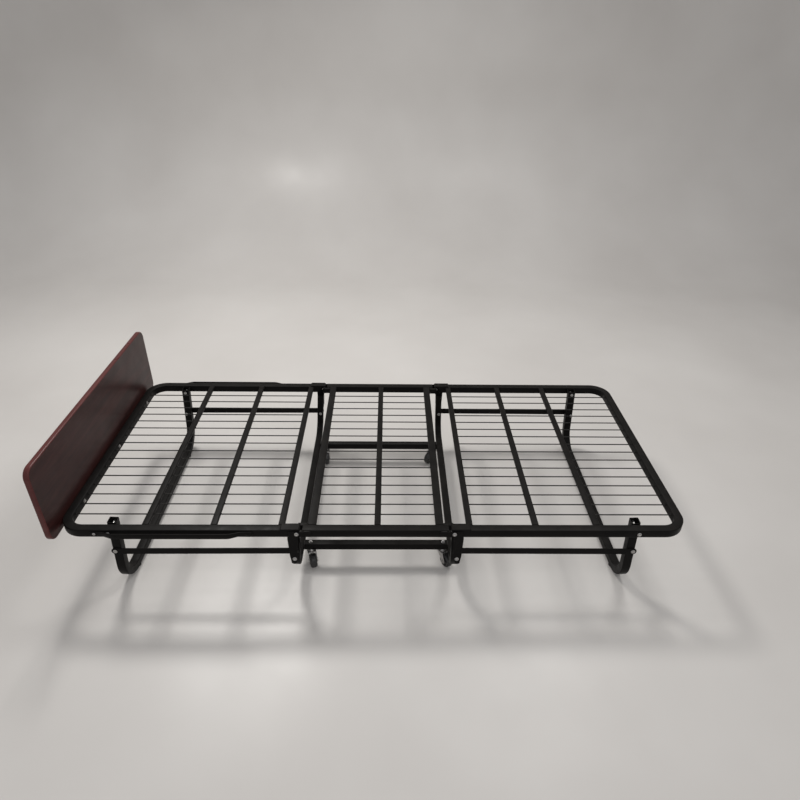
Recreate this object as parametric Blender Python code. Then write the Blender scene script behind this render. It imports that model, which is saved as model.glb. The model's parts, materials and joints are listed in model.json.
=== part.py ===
"""Folding rollaway bed: three hinged deck sections, end legs with folding links, and a caster base.

+X runs from the head end (with the headboard) to the foot end, +Y across the bed, +Z up.
The origin is on the floor, under the middle of the whole bed. Units are metres.
"""

import math

import bmesh
import bpy
from mathutils import Matrix, Vector

# ---- driving dimensions -------------------------------------------------------------------

GAP = 0.0003  # clearance left between neighbouring pieces
DECK_Z = 0.292  # top of the deck above the floor
BED_WIDTH = 0.900  # over the side rails
FRAME_LENGTH = 1.960  # over the two end tubes, without the headboard

RAIL_TUBE = 0.028  # square tube of the rails
LEG_TUBE = 0.028  # square tube of the end legs
HOOP_TUBE = 0.025  # square tube of the centre hoops and caster bars
TUBE_WALL = 0.0015
TUBE_CORNER = 0.0025
FRAME_BEND = 0.0610  # centre-line bend radius at the corners of the end frames
LEG_BEND = 0.084
HOOP_BEND = 0.065
BEND_STEPS = 6

BAR_WIDTH = 0.020  # flat cross bars that carry the wires
WIDE_BAR_WIDTH = 0.0255  # the two cross bars beside the folds
BAR_DEPTH = 0.010
WIRE_COUNT = 16
WIRE_PITCH = 0.0485
WIRE_RADIUS = 0.0020
WIRE_SIDES = 6
WIRE_BITE = 0.0005  # how far a wire is fused into the underside of a bar

MIDDLE_BARS = (-0.1985, 0.005, 0.1985)
HEAD_BARS = (0.293, 0.503, 0.714)
FOOT_BARS = (0.292, 0.500, 0.692)

FOLD_X = 0.244  # fold pivots from the middle of the frame
FOLD_DROP = 0.0125  # and below the deck top
LEG_X = 0.8206  # leg pivots from the middle of the frame
LEG_DROP = 0.015
LINK_OUT = 0.0125  # each link pivot beyond the fold or leg pivot that it follows
LINK_DROP = 0.105  # and below it
LINK_HEIGHT = 0.024
LINK_PLATE = 0.003

LEG_SLANT = {-1: math.radians(3.4), 1: math.radians(2.5)}  # of the head leg and of the foot leg
LEG_TOP_DROP = 0.001  # open tops of the leg arms below the deck top
LEG_CLEARANCE = 0.0045  # lowest edge of a leg tube above the floor
PAD_RADIUS = 0.010
PAD_Y = 0.314

HOOP_SLANT = {-1: math.radians(3.5), 1: math.radians(1.5)}  # of the head hoop and of the foot hoop
HOOP_OUT = 0.0075  # arm centre line beyond the fold pivot, at its height
HOOP_TOP_DROP = 0.028
HOOP_BOTTOM_DROP = 0.2270

MIDDLE_RAIL_SETBACK = 0.0182  # the middle rail ends this far short of the fold pivot
END_RAIL_SETBACK = 0.0105  # the end rail starts this far beyond it
EAR_RADIUS = 0.0112  # knuckle ears that carry the end rail on the fold pin
EAR_PLATE = 0.003
EAR_DEPTH = 0.018
STRAP_RISE = 0.004  # strap along the top of the end rail at the fold
STRAP_OUT = 0.051
STRAP_IN = 0.0065
STRAP_IN_LOW = 0.0120
HINGE_PLATE = 0.003

CASTER_Y = 0.294
CASTER_X = 0.229
CASTER_TRAIL = 0.023
# Which way each caster has swung, in degrees from the near side towards the foot end.
CASTER_HEADING = {(-1, -1): 18, (-1, 1): 4, (1, -1): 33, (1, 1): -42}
CASTER_BAR_DROP = 0.2265  # underside of the caster bars below the deck top
WHEEL_RADIUS = 0.025
WHEEL_WIDTH = 0.022
AXLE_RADIUS = 0.004
STEM_RADIUS = 0.0035
STEM_NUT_RADIUS = 0.0056
FORK_INSIDE = 0.0245
FORK_PLATE = 0.0025
FORK_WIDTH = 0.022

PIN_RADIUS = 0.004
PIN_HEAD_RADIUS = 0.007
PIN_HEAD = 0.0026
LOW_HEAD = 0.0018
COLLAR_RADIUS = 0.007

BOARD_THICKNESS = 0.018
BOARD_WIDTH = 0.944
BOARD_BELOW = 0.034  # below the deck top
BOARD_ABOVE = 0.240  # above the deck top
BOARD_CORNER = 0.032
BOARD_EDGE = 0.004
BOARD_BOLT_Y = (-0.302, 0.0, 0.302)
BOARD_BOLT_DROP = 0.0105
BOARD_BOLT_RADIUS = 0.003

GUARD_INNER_X = 0.394  # bolts of the side guards from the middle of the frame
GUARD_OUTER_X = 0.861
GUARD_DROP = 0.0125  # middle of the strip below the deck top
GUARD_HEIGHT = 0.019
GUARD_END_HEIGHT = 0.015
GUARD_PLATE = 0.0032
GUARD_BOW = 0.0120  # how far the strip stands off the rail
GUARD_INNER_TAB = 0.016  # flat end beyond the bolt near the fold
GUARD_OUTER_TAB = 0.011  # and beyond the bolt near the headboard
GUARD_FLAT = 0.012  # flat run on the other side of each bolt
GUARD_RAMP = 0.052
GUARD_BOLT_RADIUS = 0.003

# ---- derived positions --------------------------------------------------------------------

HALF_RAIL = RAIL_TUBE / 2
CENTRE_X = (BOARD_THICKNESS + GAP) / 2  # middle of the frame; the headboard shifts it
HALF_LENGTH = FRAME_LENGTH / 2
RAIL_Y = BED_WIDTH / 2 - HALF_RAIL
RAIL_Z = DECK_Z - HALF_RAIL
LINK_LENGTH = math.hypot(LEG_X - FOLD_X, LEG_DROP - FOLD_DROP)

# Layers across one side of the bed, from the outside in.
RAIL_OUTSIDE = BED_WIDTH / 2
HINGE_INSIDE = RAIL_OUTSIDE + GAP
HINGE_OUTSIDE = HINGE_INSIDE + HINGE_PLATE
RAIL_INSIDE = BED_WIDTH / 2 - RAIL_TUBE
LINK_OUTSIDE = RAIL_INSIDE - GAP - LOW_HEAD - 0.0005
LINK_INSIDE = LINK_OUTSIDE - LINK_PLATE
ARM_OUTSIDE = LINK_INSIDE - GAP
LEG_ARM_Y = ARM_OUTSIDE - LEG_TUBE / 2
LEG_ARM_INSIDE = ARM_OUTSIDE - LEG_TUBE
HOOP_ARM_Y = ARM_OUTSIDE - HOOP_TUBE / 2
HOOP_ARM_INSIDE = ARM_OUTSIDE - HOOP_TUBE

HEAD, FOOT = -1, 1
NEAR, FAR = -1, 1
END_NAMES = {HEAD: "head", FOOT: "foot"}
SIDE_NAMES = {NEAR: "near", FAR: "far"}
CORNERS = [(end, side) for end in (HEAD, FOOT) for side in (NEAR, FAR)]

AXIS_X = Vector((1, 0, 0))
AXIS_Y = Vector((0, 1, 0))
AXIS_Z = Vector((0, 0, 1))


def corner_name(end, side):
    return f"{END_NAMES[end]}_{SIDE_NAMES[side]}"


# ---- materials ----------------------------------------------------------------------------


def make_material(name, colour, roughness, metallic):
    material = bpy.data.materials.new(name)
    material.use_nodes = True
    shader = material.node_tree.nodes["Principled BSDF"]
    shader.inputs["Base Color"].default_value = (*colour, 1.0)
    shader.inputs["Roughness"].default_value = roughness
    shader.inputs["Metallic"].default_value = metallic
    material.diffuse_color = (*colour, 1.0)
    return material


def make_materials():
    return {
        "powder_coat": make_material("powder_coat", (0.017, 0.016, 0.016), 0.42, 0.0),
        "zinc": make_material("zinc", (0.62, 0.62, 0.60), 0.32, 1.0),
        "board": make_material("board", (0.060, 0.020, 0.019), 0.38, 0.0),
        "rubber": make_material("rubber", (0.012, 0.012, 0.013), 0.70, 0.0),
        "wheel": make_material("wheel", (0.014, 0.014, 0.015), 0.48, 0.0),
    }


# ---- mesh helpers -------------------------------------------------------------------------


def object_from(bm, name, material):
    """A scene object with smooth round faces, made from bm, which is freed."""
    bmesh.ops.recalc_face_normals(bm, faces=bm.faces)
    mesh = bpy.data.meshes.new(name)
    bm.to_mesh(mesh)
    bm.free()
    mesh.shade_smooth()
    mesh.set_sharp_from_angle(angle=math.radians(35))
    if material is not None:
        mesh.materials.append(material)
    obj = bpy.data.objects.new(name, mesh)
    bpy.context.scene.collection.objects.link(obj)
    return obj


def rectangle(width, height):
    a, b = width / 2, height / 2
    return [(a, b), (-a, b), (-a, -b), (a, -b)]


def rounded_rectangle(width, height, radius, steps):
    """Outline of a rectangle centred on 0, anticlockwise, with each corner as an arc."""
    outline = []
    for quarter in range(4):
        start = math.pi / 2 * quarter
        centre_a = (width / 2 - radius) * (1 if quarter in (0, 3) else -1)
        centre_b = (height / 2 - radius) * (1 if quarter in (0, 1) else -1)
        for step in range(steps + 1):
            angle = start + math.pi / 2 * step / steps
            outline.append((centre_a + radius * math.cos(angle), centre_b + radius * math.sin(angle)))
    return outline


def skin_rings(bm, rings):
    for ring, following in zip(rings, rings[1:]):
        count = len(ring)
        for i in range(count):
            j = (i + 1) % count
            bm.faces.new((ring[i], ring[j], following[j], following[i]))


def close_rings(bm, rings):
    """Skin the rings and cap both ends."""
    skin_rings(bm, rings)
    bm.faces.new(rings[0])
    bm.faces.new(rings[-1])


def add_sweep(bm, stations, outer, inner=None):
    """Sweep an outline through stations of (point, across, up).

    An inner outline makes it a pipe. It has one corner for every two of the outer outline.
    """

    def rings_of(outline):
        return [
            [bm.verts.new(point + across * a + up * b) for a, b in outline]
            for point, across, up in stations
        ]

    outside = rings_of(outer)
    if inner is None:
        close_rings(bm, outside)
        return
    inside = rings_of(inner)
    skin_rings(bm, outside)
    skin_rings(bm, inside)
    count = len(inner)
    for end in (0, -1):
        for i in range(count):
            j = (i + 1) % count
            first, second, third = outside[end][2 * i], outside[end][2 * i + 1], outside[end][2 * j]
            bm.faces.new((first, second, inside[end][i]))
            bm.faces.new((second, third, inside[end][j], inside[end][i]))


def tube_outlines(size):
    """Outlines of a square tube: chamfered corners outside, sharp corners inside."""
    bore = size - 2 * TUBE_WALL
    return rounded_rectangle(size, size, TUBE_CORNER, 1), rectangle(bore, bore)


def straight_stations(start, end, across, up):
    return [(start, across, up), (end, across, up)]


def u_stations(origin, out, reach, half_width, bend):
    """Stations of a U in the plane of out and Y: up one arm, across, and back down the other."""
    up = out.cross(AXIS_Y).normalized()
    corner_out = reach - bend
    corner_across = half_width - bend
    stations = [(origin - AXIS_Y * half_width, -AXIS_Y, up)]
    for side, start in ((-1, -math.pi / 2), (1, 0.0)):
        for step in range(BEND_STEPS + 1):
            angle = start + math.pi / 2 * step / BEND_STEPS
            radial = out * math.cos(angle) + AXIS_Y * math.sin(angle)
            centre = origin + out * corner_out + AXIS_Y * (side * corner_across)
            stations.append((centre + radial * bend, radial, up))
    stations.append((origin + AXIS_Y * half_width, AXIS_Y, up))
    return stations


def add_turned(bm, origin, axis, profile, sides):
    """A turned solid from (radius, distance along axis) points, running from one end to the other."""
    axis = axis.normalized()
    first = axis.orthogonal().normalized()
    second = axis.cross(first)
    rings = []
    for radius, along in profile:
        centre = origin + axis * along
        ring = []
        for i in range(sides):
            angle = 2 * math.pi * i / sides
            ring.append(bm.verts.new(centre + (first * math.cos(angle) + second * math.sin(angle)) * radius))
        rings.append(ring)
    close_rings(bm, rings)


def turned_object(name, origin, axis, profile, sides, material=None):
    bm = bmesh.new()
    add_turned(bm, origin, axis, profile, sides)
    return object_from(bm, name, material)


def cylinder_cutter(origin, axis, radius, length, sides=12):
    """A cutter centred on origin."""
    profile = ((radius, -length / 2), (radius, length / 2))
    return turned_object("cutter", origin, axis, profile, sides)


def combine(obj, others, operation):
    """Apply one Boolean for each other object to obj, and remove the others."""
    for other in others:
        modifier = obj.modifiers.new("combine", "BOOLEAN")
        modifier.operation = operation
        modifier.solver = "EXACT"
        modifier.object = other
    graph = bpy.context.evaluated_depsgraph_get()
    mesh = bpy.data.meshes.new_from_object(obj.evaluated_get(graph))
    mesh.name = obj.name
    obj.modifiers.clear()
    obj.data = mesh
    for other in others:
        bpy.data.objects.remove(other)
    mesh.shade_smooth()
    mesh.set_sharp_from_angle(angle=math.radians(35))


def drill(obj, holes):
    """Cut round holes given as (point, axis, radius, length) and perhaps a number of sides."""
    combine(obj, [cylinder_cutter(*hole) for hole in holes], "DIFFERENCE")


def fuse(obj, others):
    combine(obj, others, "UNION")


def place_origin(obj, point):
    """Move the object's origin to point, and leave its geometry where it is."""
    offset = Vector(point)
    for vertex in obj.data.vertices:
        vertex.co -= offset
    obj.location = offset


# ---- pivots and positions -----------------------------------------------------------------


def at(x, y, z):
    """A point with x measured from the middle of the frame."""
    return Vector((CENTRE_X + x, y, z))


def fold_pivot(end, y=0.0):
    return at(end * FOLD_X, y, DECK_Z - FOLD_DROP)


def leg_pivot(end, y=0.0):
    return at(end * LEG_X, y, DECK_Z - LEG_DROP)


def root_link_pivot(end, y=0.0):
    return at(end * (FOLD_X + LINK_OUT), y, DECK_Z - FOLD_DROP - LINK_DROP)


def leg_link_pivot(end, y=0.0):
    return at(end * (LEG_X + LINK_OUT), y, DECK_Z - LEG_DROP - LINK_DROP)


def pin_hole(point, length, radius=PIN_RADIUS):
    return (point, AXIS_Y, radius + GAP, length)


def rounded_polygon(corners, steps=4):
    """Outline with each (a, b, radius) corner turned into an arc; radius 0 keeps it sharp."""
    outline = []
    count = len(corners)
    for i, (a, b, radius) in enumerate(corners):
        here = Vector((a, b))
        if radius == 0:
            outline.append((a, b))
            continue
        before = (Vector(corners[i - 1][:2]) - here).normalized()
        after = (Vector(corners[(i + 1) % count][:2]) - here).normalized()
        half = before.angle(after) / 2
        start = here + before * (radius / math.tan(half))
        centre = here + (before + after).normalized() * (radius / math.sin(half))
        turn = math.pi - 2 * half
        hand = 1 if before.x * after.y - before.y * after.x < 0 else -1
        first = start - centre
        for step in range(steps + 1):
            angle = hand * turn * step / steps
            cos, sin = math.cos(angle), math.sin(angle)
            outline.append((centre.x + first.x * cos - first.y * sin, centre.y + first.x * sin + first.y * cos))
    return outline


def side_plate(name, outline, origin, end, side, inside, outside, material):
    """Flat plate facing across the bed; the outline is (towards the bed's end, up) from origin."""
    bm = bmesh.new()
    low, high = sorted((side * inside, side * outside))
    start = Vector((origin.x, low, origin.z))
    stations = straight_stations(start, start + AXIS_Y * (high - low), AXIS_X * end, AXIS_Z)
    add_sweep(bm, stations, outline)
    return object_from(bm, name, material)


# ---- deck sections ------------------------------------------------------------------------


def make_deck(name, bars_at, wire_start, wire_end, material):
    """Flat cross bars, each a place and a width, with wires welded under them, as one welded grid."""
    half_y = RAIL_INSIDE - GAP
    bars = []
    for x, width in bars_at:
        bm = bmesh.new()
        outline = rounded_rectangle(width, BAR_DEPTH, 0.0015, 1)
        z = DECK_Z - BAR_DEPTH / 2
        add_sweep(bm, straight_stations(at(x, -half_y, z), at(x, half_y, z), AXIS_X, AXIS_Z), outline)
        bars.append(object_from(bm, name, material))
    bm = bmesh.new()
    z = DECK_Z - BAR_DEPTH - WIRE_RADIUS + WIRE_BITE
    for index in range(WIRE_COUNT):
        y = (index - (WIRE_COUNT - 1) / 2) * WIRE_PITCH
        profile = ((WIRE_RADIUS, 0.0), (WIRE_RADIUS, abs(wire_end - wire_start)))
        direction = AXIS_X if wire_end > wire_start else -AXIS_X
        add_turned(bm, at(wire_start, y, z), direction, profile, WIRE_SIDES)
    wires = object_from(bm, name + "_wires", material)
    deck = bars[0]
    fuse(deck, bars[1:] + [wires])
    deck.name = name
    return deck


def make_middle_deck(material):
    reach = MIDDLE_BARS[-1] + BAR_WIDTH * 0.3
    bars_at = zip(MIDDLE_BARS, (WIDE_BAR_WIDTH, BAR_WIDTH, WIDE_BAR_WIDTH))
    return make_deck("middle_deck", bars_at, -reach, reach, material)


def make_end_deck(end, material):
    bars = HEAD_BARS if end == HEAD else FOOT_BARS
    wire_start = end * (bars[0] - BAR_WIDTH * 0.3)
    wire_end = end * (HALF_LENGTH - RAIL_TUBE - GAP)
    bars_at = [(end * x, BAR_WIDTH) for x in bars]
    deck = make_deck(f"{END_NAMES[end]}_deck", bars_at, wire_start, wire_end, material)
    place_origin(deck, fold_pivot(end))
    return deck


def make_middle_rail(side, material):
    half = FOLD_X - MIDDLE_RAIL_SETBACK
    y = side * RAIL_Y
    bm = bmesh.new()
    outer, inner = tube_outlines(RAIL_TUBE)
    stations = straight_stations(at(-half, y, RAIL_Z), at(half, y, RAIL_Z), AXIS_Y, AXIS_Z)
    add_sweep(bm, stations, outer, inner)
    return object_from(bm, f"middle_rail_{SIDE_NAMES[side]}", material)


def knuckle_parts(end, side, material):
    """Strap over the fold and the two ears under it, which carry the end rail on the fold pin."""
    pivot = fold_pivot(end)
    top = FOLD_DROP + STRAP_RISE
    strap = (
        (-STRAP_IN, top, 0.001),
        (-STRAP_IN_LOW, FOLD_DROP - 0.0004, 0),
        (0.0, FOLD_DROP - 0.0007, 0),
        (STRAP_OUT, FOLD_DROP - 0.0007, 0),
        (STRAP_OUT, top - 0.0022, 0),
        (STRAP_OUT - 0.0035, top, 0.001),
    )
    outline = rounded_polygon(strap, 2)
    inside, outside = RAIL_INSIDE + 0.0002, RAIL_OUTSIDE - 0.0002
    parts = [side_plate("strap", outline, pivot, end, side, inside, outside, material)]
    ear = [(EAR_DEPTH, -EAR_RADIUS), (EAR_DEPTH, FOLD_DROP + 0.0007), (-0.003, FOLD_DROP + 0.0007)]
    steps = 8
    for step in range(steps + 1):
        angle = math.radians(105) + math.radians(165) * step / steps
        ear.append((EAR_RADIUS * math.cos(angle), EAR_RADIUS * math.sin(angle)))
    inset = 0.0006
    for inside in (RAIL_INSIDE + inset, RAIL_OUTSIDE - inset - EAR_PLATE):
        parts.append(side_plate("ear", ear, pivot, end, side, inside, inside + EAR_PLATE, material))
    return parts


def make_end_frame(end, material):
    """U-shaped tube of the head or foot section, with hinge knuckles at its open ends."""
    start = FOLD_X + END_RAIL_SETBACK
    bm = bmesh.new()
    outer, inner = tube_outlines(RAIL_TUBE)
    reach = HALF_LENGTH - HALF_RAIL - start
    stations = u_stations(at(end * start, 0, RAIL_Z), AXIS_X * end, reach, RAIL_Y, FRAME_BEND)
    add_sweep(bm, stations, outer, inner)
    frame = object_from(bm, f"{END_NAMES[end]}_frame", material)
    parts = []
    for side in (NEAR, FAR):
        parts += knuckle_parts(end, side, material)
    fuse(frame, parts)
    holes = []
    for side in (NEAR, FAR):
        holes.append(pin_hole(leg_pivot(end, side * RAIL_Y), RAIL_TUBE + 0.004))
        holes.append(pin_hole(fold_pivot(end, side * RAIL_Y), RAIL_TUBE + 0.004))
    if end == HEAD:
        radius = BOARD_BOLT_RADIUS + GAP
        for y in BOARD_BOLT_Y:
            point = at(-(HALF_LENGTH - HALF_RAIL), y, DECK_Z - BOARD_BOLT_DROP)
            holes.append((point, AXIS_X, radius, RAIL_TUBE + 0.004, 8))
        for side in (NEAR, FAR):
            for x in (GUARD_INNER_X, GUARD_OUTER_X):
                point = at(-x, side * RAIL_OUTSIDE, DECK_Z - GUARD_DROP)
                holes.append((point, AXIS_Y, GUARD_BOLT_RADIUS + GAP, 2 * (TUBE_WALL + 0.002), 8))
    drill(frame, holes)
    place_origin(frame, fold_pivot(end))
    return frame


# ---- legs, hoops and links ----------------------------------------------------------------


def slanted_down(end, slant):
    """Direction down a leg whose foot leans towards the end of the bed."""
    return Vector((end * math.sin(slant), 0, -math.cos(slant)))


def half_height_of_slanted_tube(size, slant):
    straight = size / 2 - TUBE_CORNER
    return straight * (math.cos(slant) + math.sin(slant)) + TUBE_CORNER


def slanted_u(name, through, down, top_z, bottom_z, size, arm_y, bend, material):
    """U of square tube: arms from open tops at top_z, through a point, down to a cross tube."""
    top = through + down * ((top_z - through.z) / down.z)
    cross_z = bottom_z + half_height_of_slanted_tube(size, math.acos(-down.z))
    reach = (cross_z - top.z) / down.z
    bm = bmesh.new()
    outer, inner = tube_outlines(size)
    add_sweep(bm, u_stations(top, down, reach, arm_y, bend), outer, inner)
    return object_from(bm, name, material)


def make_leg(end, material):
    down = slanted_down(end, LEG_SLANT[end])
    top_z = DECK_Z - LEG_TOP_DROP
    name = f"{END_NAMES[end]}_leg"
    pivot = leg_pivot(end)
    leg = slanted_u(name, pivot, down, top_z, LEG_CLEARANCE, LEG_TUBE, LEG_ARM_Y, LEG_BEND, material)
    holes = []
    for side in (NEAR, FAR):
        holes.append(pin_hole(leg_pivot(end, side * LEG_ARM_Y), LEG_TUBE + 0.004))
        holes.append(pin_hole(leg_link_pivot(end, side * LEG_ARM_Y), LEG_TUBE + 0.004))
    drill(leg, holes)
    place_origin(leg, pivot)
    return leg


def make_foot_pad(end, side, material):
    """Rubber stub under the cross tube of the leg, just inside its bend."""
    slant = LEG_SLANT[end]
    drop = DECK_Z - LEG_DROP - LEG_CLEARANCE - half_height_of_slanted_tube(LEG_TUBE, slant)
    lean = (LEG_TUBE / 2 - TUBE_CORNER) * (math.cos(slant) - math.sin(slant))
    x = LEG_X + drop * math.tan(slant) - lean * 0.4
    height = LEG_CLEARANCE - GAP
    profile = ((PAD_RADIUS - 0.0008, 0.0), (PAD_RADIUS, 0.0008), (PAD_RADIUS, height))
    name = f"foot_pad_{corner_name(end, side)}"
    return turned_object(name, at(end * x, side * PAD_Y, 0), AXIS_Z, profile, 16, material)


def hoop_gusset(end, side, material):
    """Plate that carries the hoop's arm from the inner face of the middle rail."""
    outline = rounded_polygon(
        (
            (-0.032, -0.0245, 0.003),
            (-0.032, -0.0045, 0.002),
            (-0.0008, -0.0045, 0.002),
            (-0.0008, -0.080, 0),
            (-0.0030, -0.080, 0.002),
            (-0.0050, -0.0245, 0.006),
        ),
        2,
    )
    origin = at(end * FOLD_X, 0, DECK_Z)
    inside = ARM_OUTSIDE - 0.006
    return side_plate("gusset", outline, origin, end, side, inside, RAIL_INSIDE - GAP, material)


def make_hoop(end, material):
    """Fixed U-shaped leg under one end of the middle section."""
    down = slanted_down(end, HOOP_SLANT[end])
    through = at(end * (FOLD_X + HOOP_OUT), 0, DECK_Z - FOLD_DROP)
    top_z = DECK_Z - HOOP_TOP_DROP
    bottom_z = DECK_Z - HOOP_BOTTOM_DROP
    name = f"centre_hoop_{END_NAMES[end]}"
    hoop = slanted_u(name, through, down, top_z, bottom_z, HOOP_TUBE, HOOP_ARM_Y, HOOP_BEND, material)
    fuse(hoop, [hoop_gusset(end, side, material) for side in (NEAR, FAR)])
    drill(hoop, [pin_hole(root_link_pivot(end, side * HOOP_ARM_Y), HOOP_TUBE + 0.004) for side in (NEAR, FAR)])
    return hoop


def capsule_outline(length, height, steps):
    """A flat bar with round ends, whose two centres are at 0 and length."""
    outline = []
    for centre, start in ((length, -math.pi / 2), (0.0, math.pi / 2)):
        for step in range(steps + 1):
            angle = start + math.pi * step / steps
            outline.append((centre + height / 2 * math.cos(angle), height / 2 * math.sin(angle)))
    return outline


def make_link(end, side, material):
    """Flat bar between the link pins of the hoop and of the leg."""
    start = root_link_pivot(end)
    tilt = math.atan2(FOLD_DROP - LEG_DROP, LEG_X - FOLD_X)
    cos, sin = math.cos(tilt), math.sin(tilt)
    outline = [(a * cos - b * sin, a * sin + b * cos) for a, b in capsule_outline(LINK_LENGTH, LINK_HEIGHT, 8)]
    name = f"folding_link_{corner_name(end, side)}"
    link = side_plate(name, outline, start, end, side, LINK_INSIDE, LINK_OUTSIDE, material)
    y = side * (LINK_INSIDE + LINK_OUTSIDE) / 2
    drill(link, [pin_hole(root_link_pivot(end, y), 0.01), pin_hole(leg_link_pivot(end, y), 0.01)])
    place_origin(link, start)
    return link


# ---- hinge plates and pins ----------------------------------------------------------------


def make_hinge_plate(end, side, material):
    """Plate outside the rails: welded to the middle rail, and holding the fold and link pins."""
    corners = (
        (-0.045, -0.0035, 0.002),
        (0.0240, -0.0035, 0.003),
        (0.0295, -0.0300, 0.010),
        (0.0265, -0.1080, 0.010),
        (0.0225, -0.1400, 0.0075),
        (0.0075, -0.1400, 0.0070),
        (0.0010, -0.1000, 0.020),
        (-0.0015, -0.0260, 0.0025),
        (-0.0090, -0.0240, 0.002),
        (-0.045, -0.0240, 0.002),
    )
    name = f"hinge_plate_{corner_name(end, side)}"
    origin = at(end * FOLD_X, 0, DECK_Z)
    outline = rounded_polygon(corners, 4)
    plate = side_plate(name, outline, origin, end, side, HINGE_INSIDE, HINGE_OUTSIDE, material)
    y = side * (HINGE_INSIDE + HINGE_OUTSIDE) / 2
    drill(plate, [pin_hole(fold_pivot(end, y), 0.01), pin_hole(root_link_pivot(end, y), 0.01)])
    return plate


def round_head(seat, height, radius, direction):
    """Profile of a dimpled pin head, from its centre to the shank at its seat."""
    return [
        (radius * 0.30, seat + direction * height * 0.5),
        (radius * 0.62, seat + direction * height),
        (radius, seat + direction * height * 0.4),
        (radius, seat),
        (PIN_RADIUS, seat),
    ]


def make_pin(name, pivot, side, head_seat, head_height, collar, tail_seat, tail_end, material):
    """Turned pin across one side: an outer head, an optional collar, and an inner head or plain end."""
    profile = round_head(head_seat + GAP, head_height, PIN_HEAD_RADIUS, 1)
    if collar:
        low, high = collar
        profile += [
            (PIN_RADIUS, high - GAP),
            (COLLAR_RADIUS, high - GAP),
            (COLLAR_RADIUS, low + GAP),
            (PIN_RADIUS, low + GAP),
        ]
    if tail_seat:
        seat = tail_seat - GAP
        radius = PIN_HEAD_RADIUS * 0.93
        profile += [(PIN_RADIUS, seat), (radius, seat), (radius * 0.60, seat - PIN_HEAD)]
    else:
        profile.append((PIN_RADIUS, tail_end))
    return turned_object(name, pivot, AXIS_Y * side, profile, 12, material)


def make_fold_pin(end, side, material):
    name = f"fold_pin_{corner_name(end, side)}"
    tail = RAIL_INSIDE + GAP
    return make_pin(name, fold_pivot(end), side, HINGE_OUTSIDE, PIN_HEAD, None, None, tail, material)


def make_link_base_pin(end, side, material):
    name = f"link_base_pin_{corner_name(end, side)}"
    pivot = root_link_pivot(end)
    collar = (LINK_OUTSIDE, HINGE_INSIDE)
    seat, tail = HINGE_OUTSIDE, HOOP_ARM_INSIDE
    return make_pin(name, pivot, side, seat, PIN_HEAD, collar, tail, None, material)


def make_leg_pin(end, side, material):
    name = f"leg_pin_{corner_name(end, side)}"
    pivot = leg_pivot(end)
    collar = (ARM_OUTSIDE, RAIL_INSIDE)
    seat, tail = RAIL_OUTSIDE, LEG_ARM_INSIDE
    return make_pin(name, pivot, side, seat, PIN_HEAD, collar, tail, None, material)


def make_link_leg_pin(end, side, material):
    name = f"link_leg_pin_{corner_name(end, side)}"
    pivot = leg_link_pivot(end)
    seat, tail = LINK_OUTSIDE, LEG_ARM_INSIDE
    return make_pin(name, pivot, side, seat, LOW_HEAD, None, tail, None, material)


# ---- headboard and guards -----------------------------------------------------------------


def make_headboard(material):
    """Panel with rounded corners and softened edges, drilled for its three bolts."""
    centre_z = DECK_Z + (BOARD_ABOVE - BOARD_BELOW) / 2
    height = BOARD_ABOVE + BOARD_BELOW
    outer_x = -HALF_LENGTH - GAP - BOARD_THICKNESS
    steps = 2
    layers = []
    for step in range(steps + 1):
        angle = math.pi / 2 * step / steps
        layers.append((BOARD_EDGE * (1 - math.cos(angle)), BOARD_EDGE * (1 - math.sin(angle))))
    layers += [(BOARD_THICKNESS - depth, inset) for depth, inset in reversed(layers)]
    bm = bmesh.new()
    rings = []
    for depth, inset in layers:
        point = at(outer_x + depth, 0, centre_z)
        width = BOARD_WIDTH - 2 * inset
        outline = rounded_rectangle(width, height - 2 * inset, BOARD_CORNER - inset, 6)
        rings.append([bm.verts.new(point + AXIS_Y * a + AXIS_Z * b) for a, b in outline])
    close_rings(bm, rings)
    board = object_from(bm, "headboard", material)
    holes = []
    for y in BOARD_BOLT_Y:
        point = at(-HALF_LENGTH - GAP, y, DECK_Z - BOARD_BOLT_DROP)
        holes.append((point, AXIS_X, BOARD_BOLT_RADIUS + GAP, 0.026, 8))
    drill(board, holes)
    place_origin(board, fold_pivot(HEAD))
    return board


def make_board_bolt(index, y, material):
    """Bolt from the inside of the end tube into the headboard."""
    seat = RAIL_TUBE + GAP
    profile = [
        (BOARD_BOLT_RADIUS, -0.0120),
        (BOARD_BOLT_RADIUS, seat),
        (0.0060, seat),
        (0.0060, seat + 0.0012),
        (0.0040, seat + 0.0028),
        (0.0020, seat + 0.0014),
    ]
    origin = at(-HALF_LENGTH, y, DECK_Z - BOARD_BOLT_DROP)
    return turned_object(f"headboard_bolt_{index}", origin, AXIS_X, profile, 12, material)


def guard_half_path(tab):
    """(distance from the tip, stand-off, height) from one tip to the top of its ramp."""
    ramp_start = tab + GUARD_FLAT
    half = [(0.0, 0.0, GUARD_END_HEIGHT - 0.005), (0.002, 0.0, GUARD_END_HEIGHT)]
    half.append((tab + GUARD_FLAT * 0.5, 0.0, GUARD_END_HEIGHT))
    steps = 6
    for step in range(steps + 1):
        share = step / steps
        eased = share * share * (3 - 2 * share)
        height = GUARD_END_HEIGHT + (GUARD_HEIGHT - GUARD_END_HEIGHT) * eased
        half.append((ramp_start + GUARD_RAMP * share, GUARD_BOW * eased, height))
    return half


def guard_path():
    """The same from the tip near the fold to the tip near the headboard."""
    length = GUARD_OUTER_X - GUARD_INNER_X + GUARD_INNER_TAB + GUARD_OUTER_TAB
    outer = reversed(guard_half_path(GUARD_OUTER_TAB))
    return guard_half_path(GUARD_INNER_TAB) + [(length - along, bow, height) for along, bow, height in outer]


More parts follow.
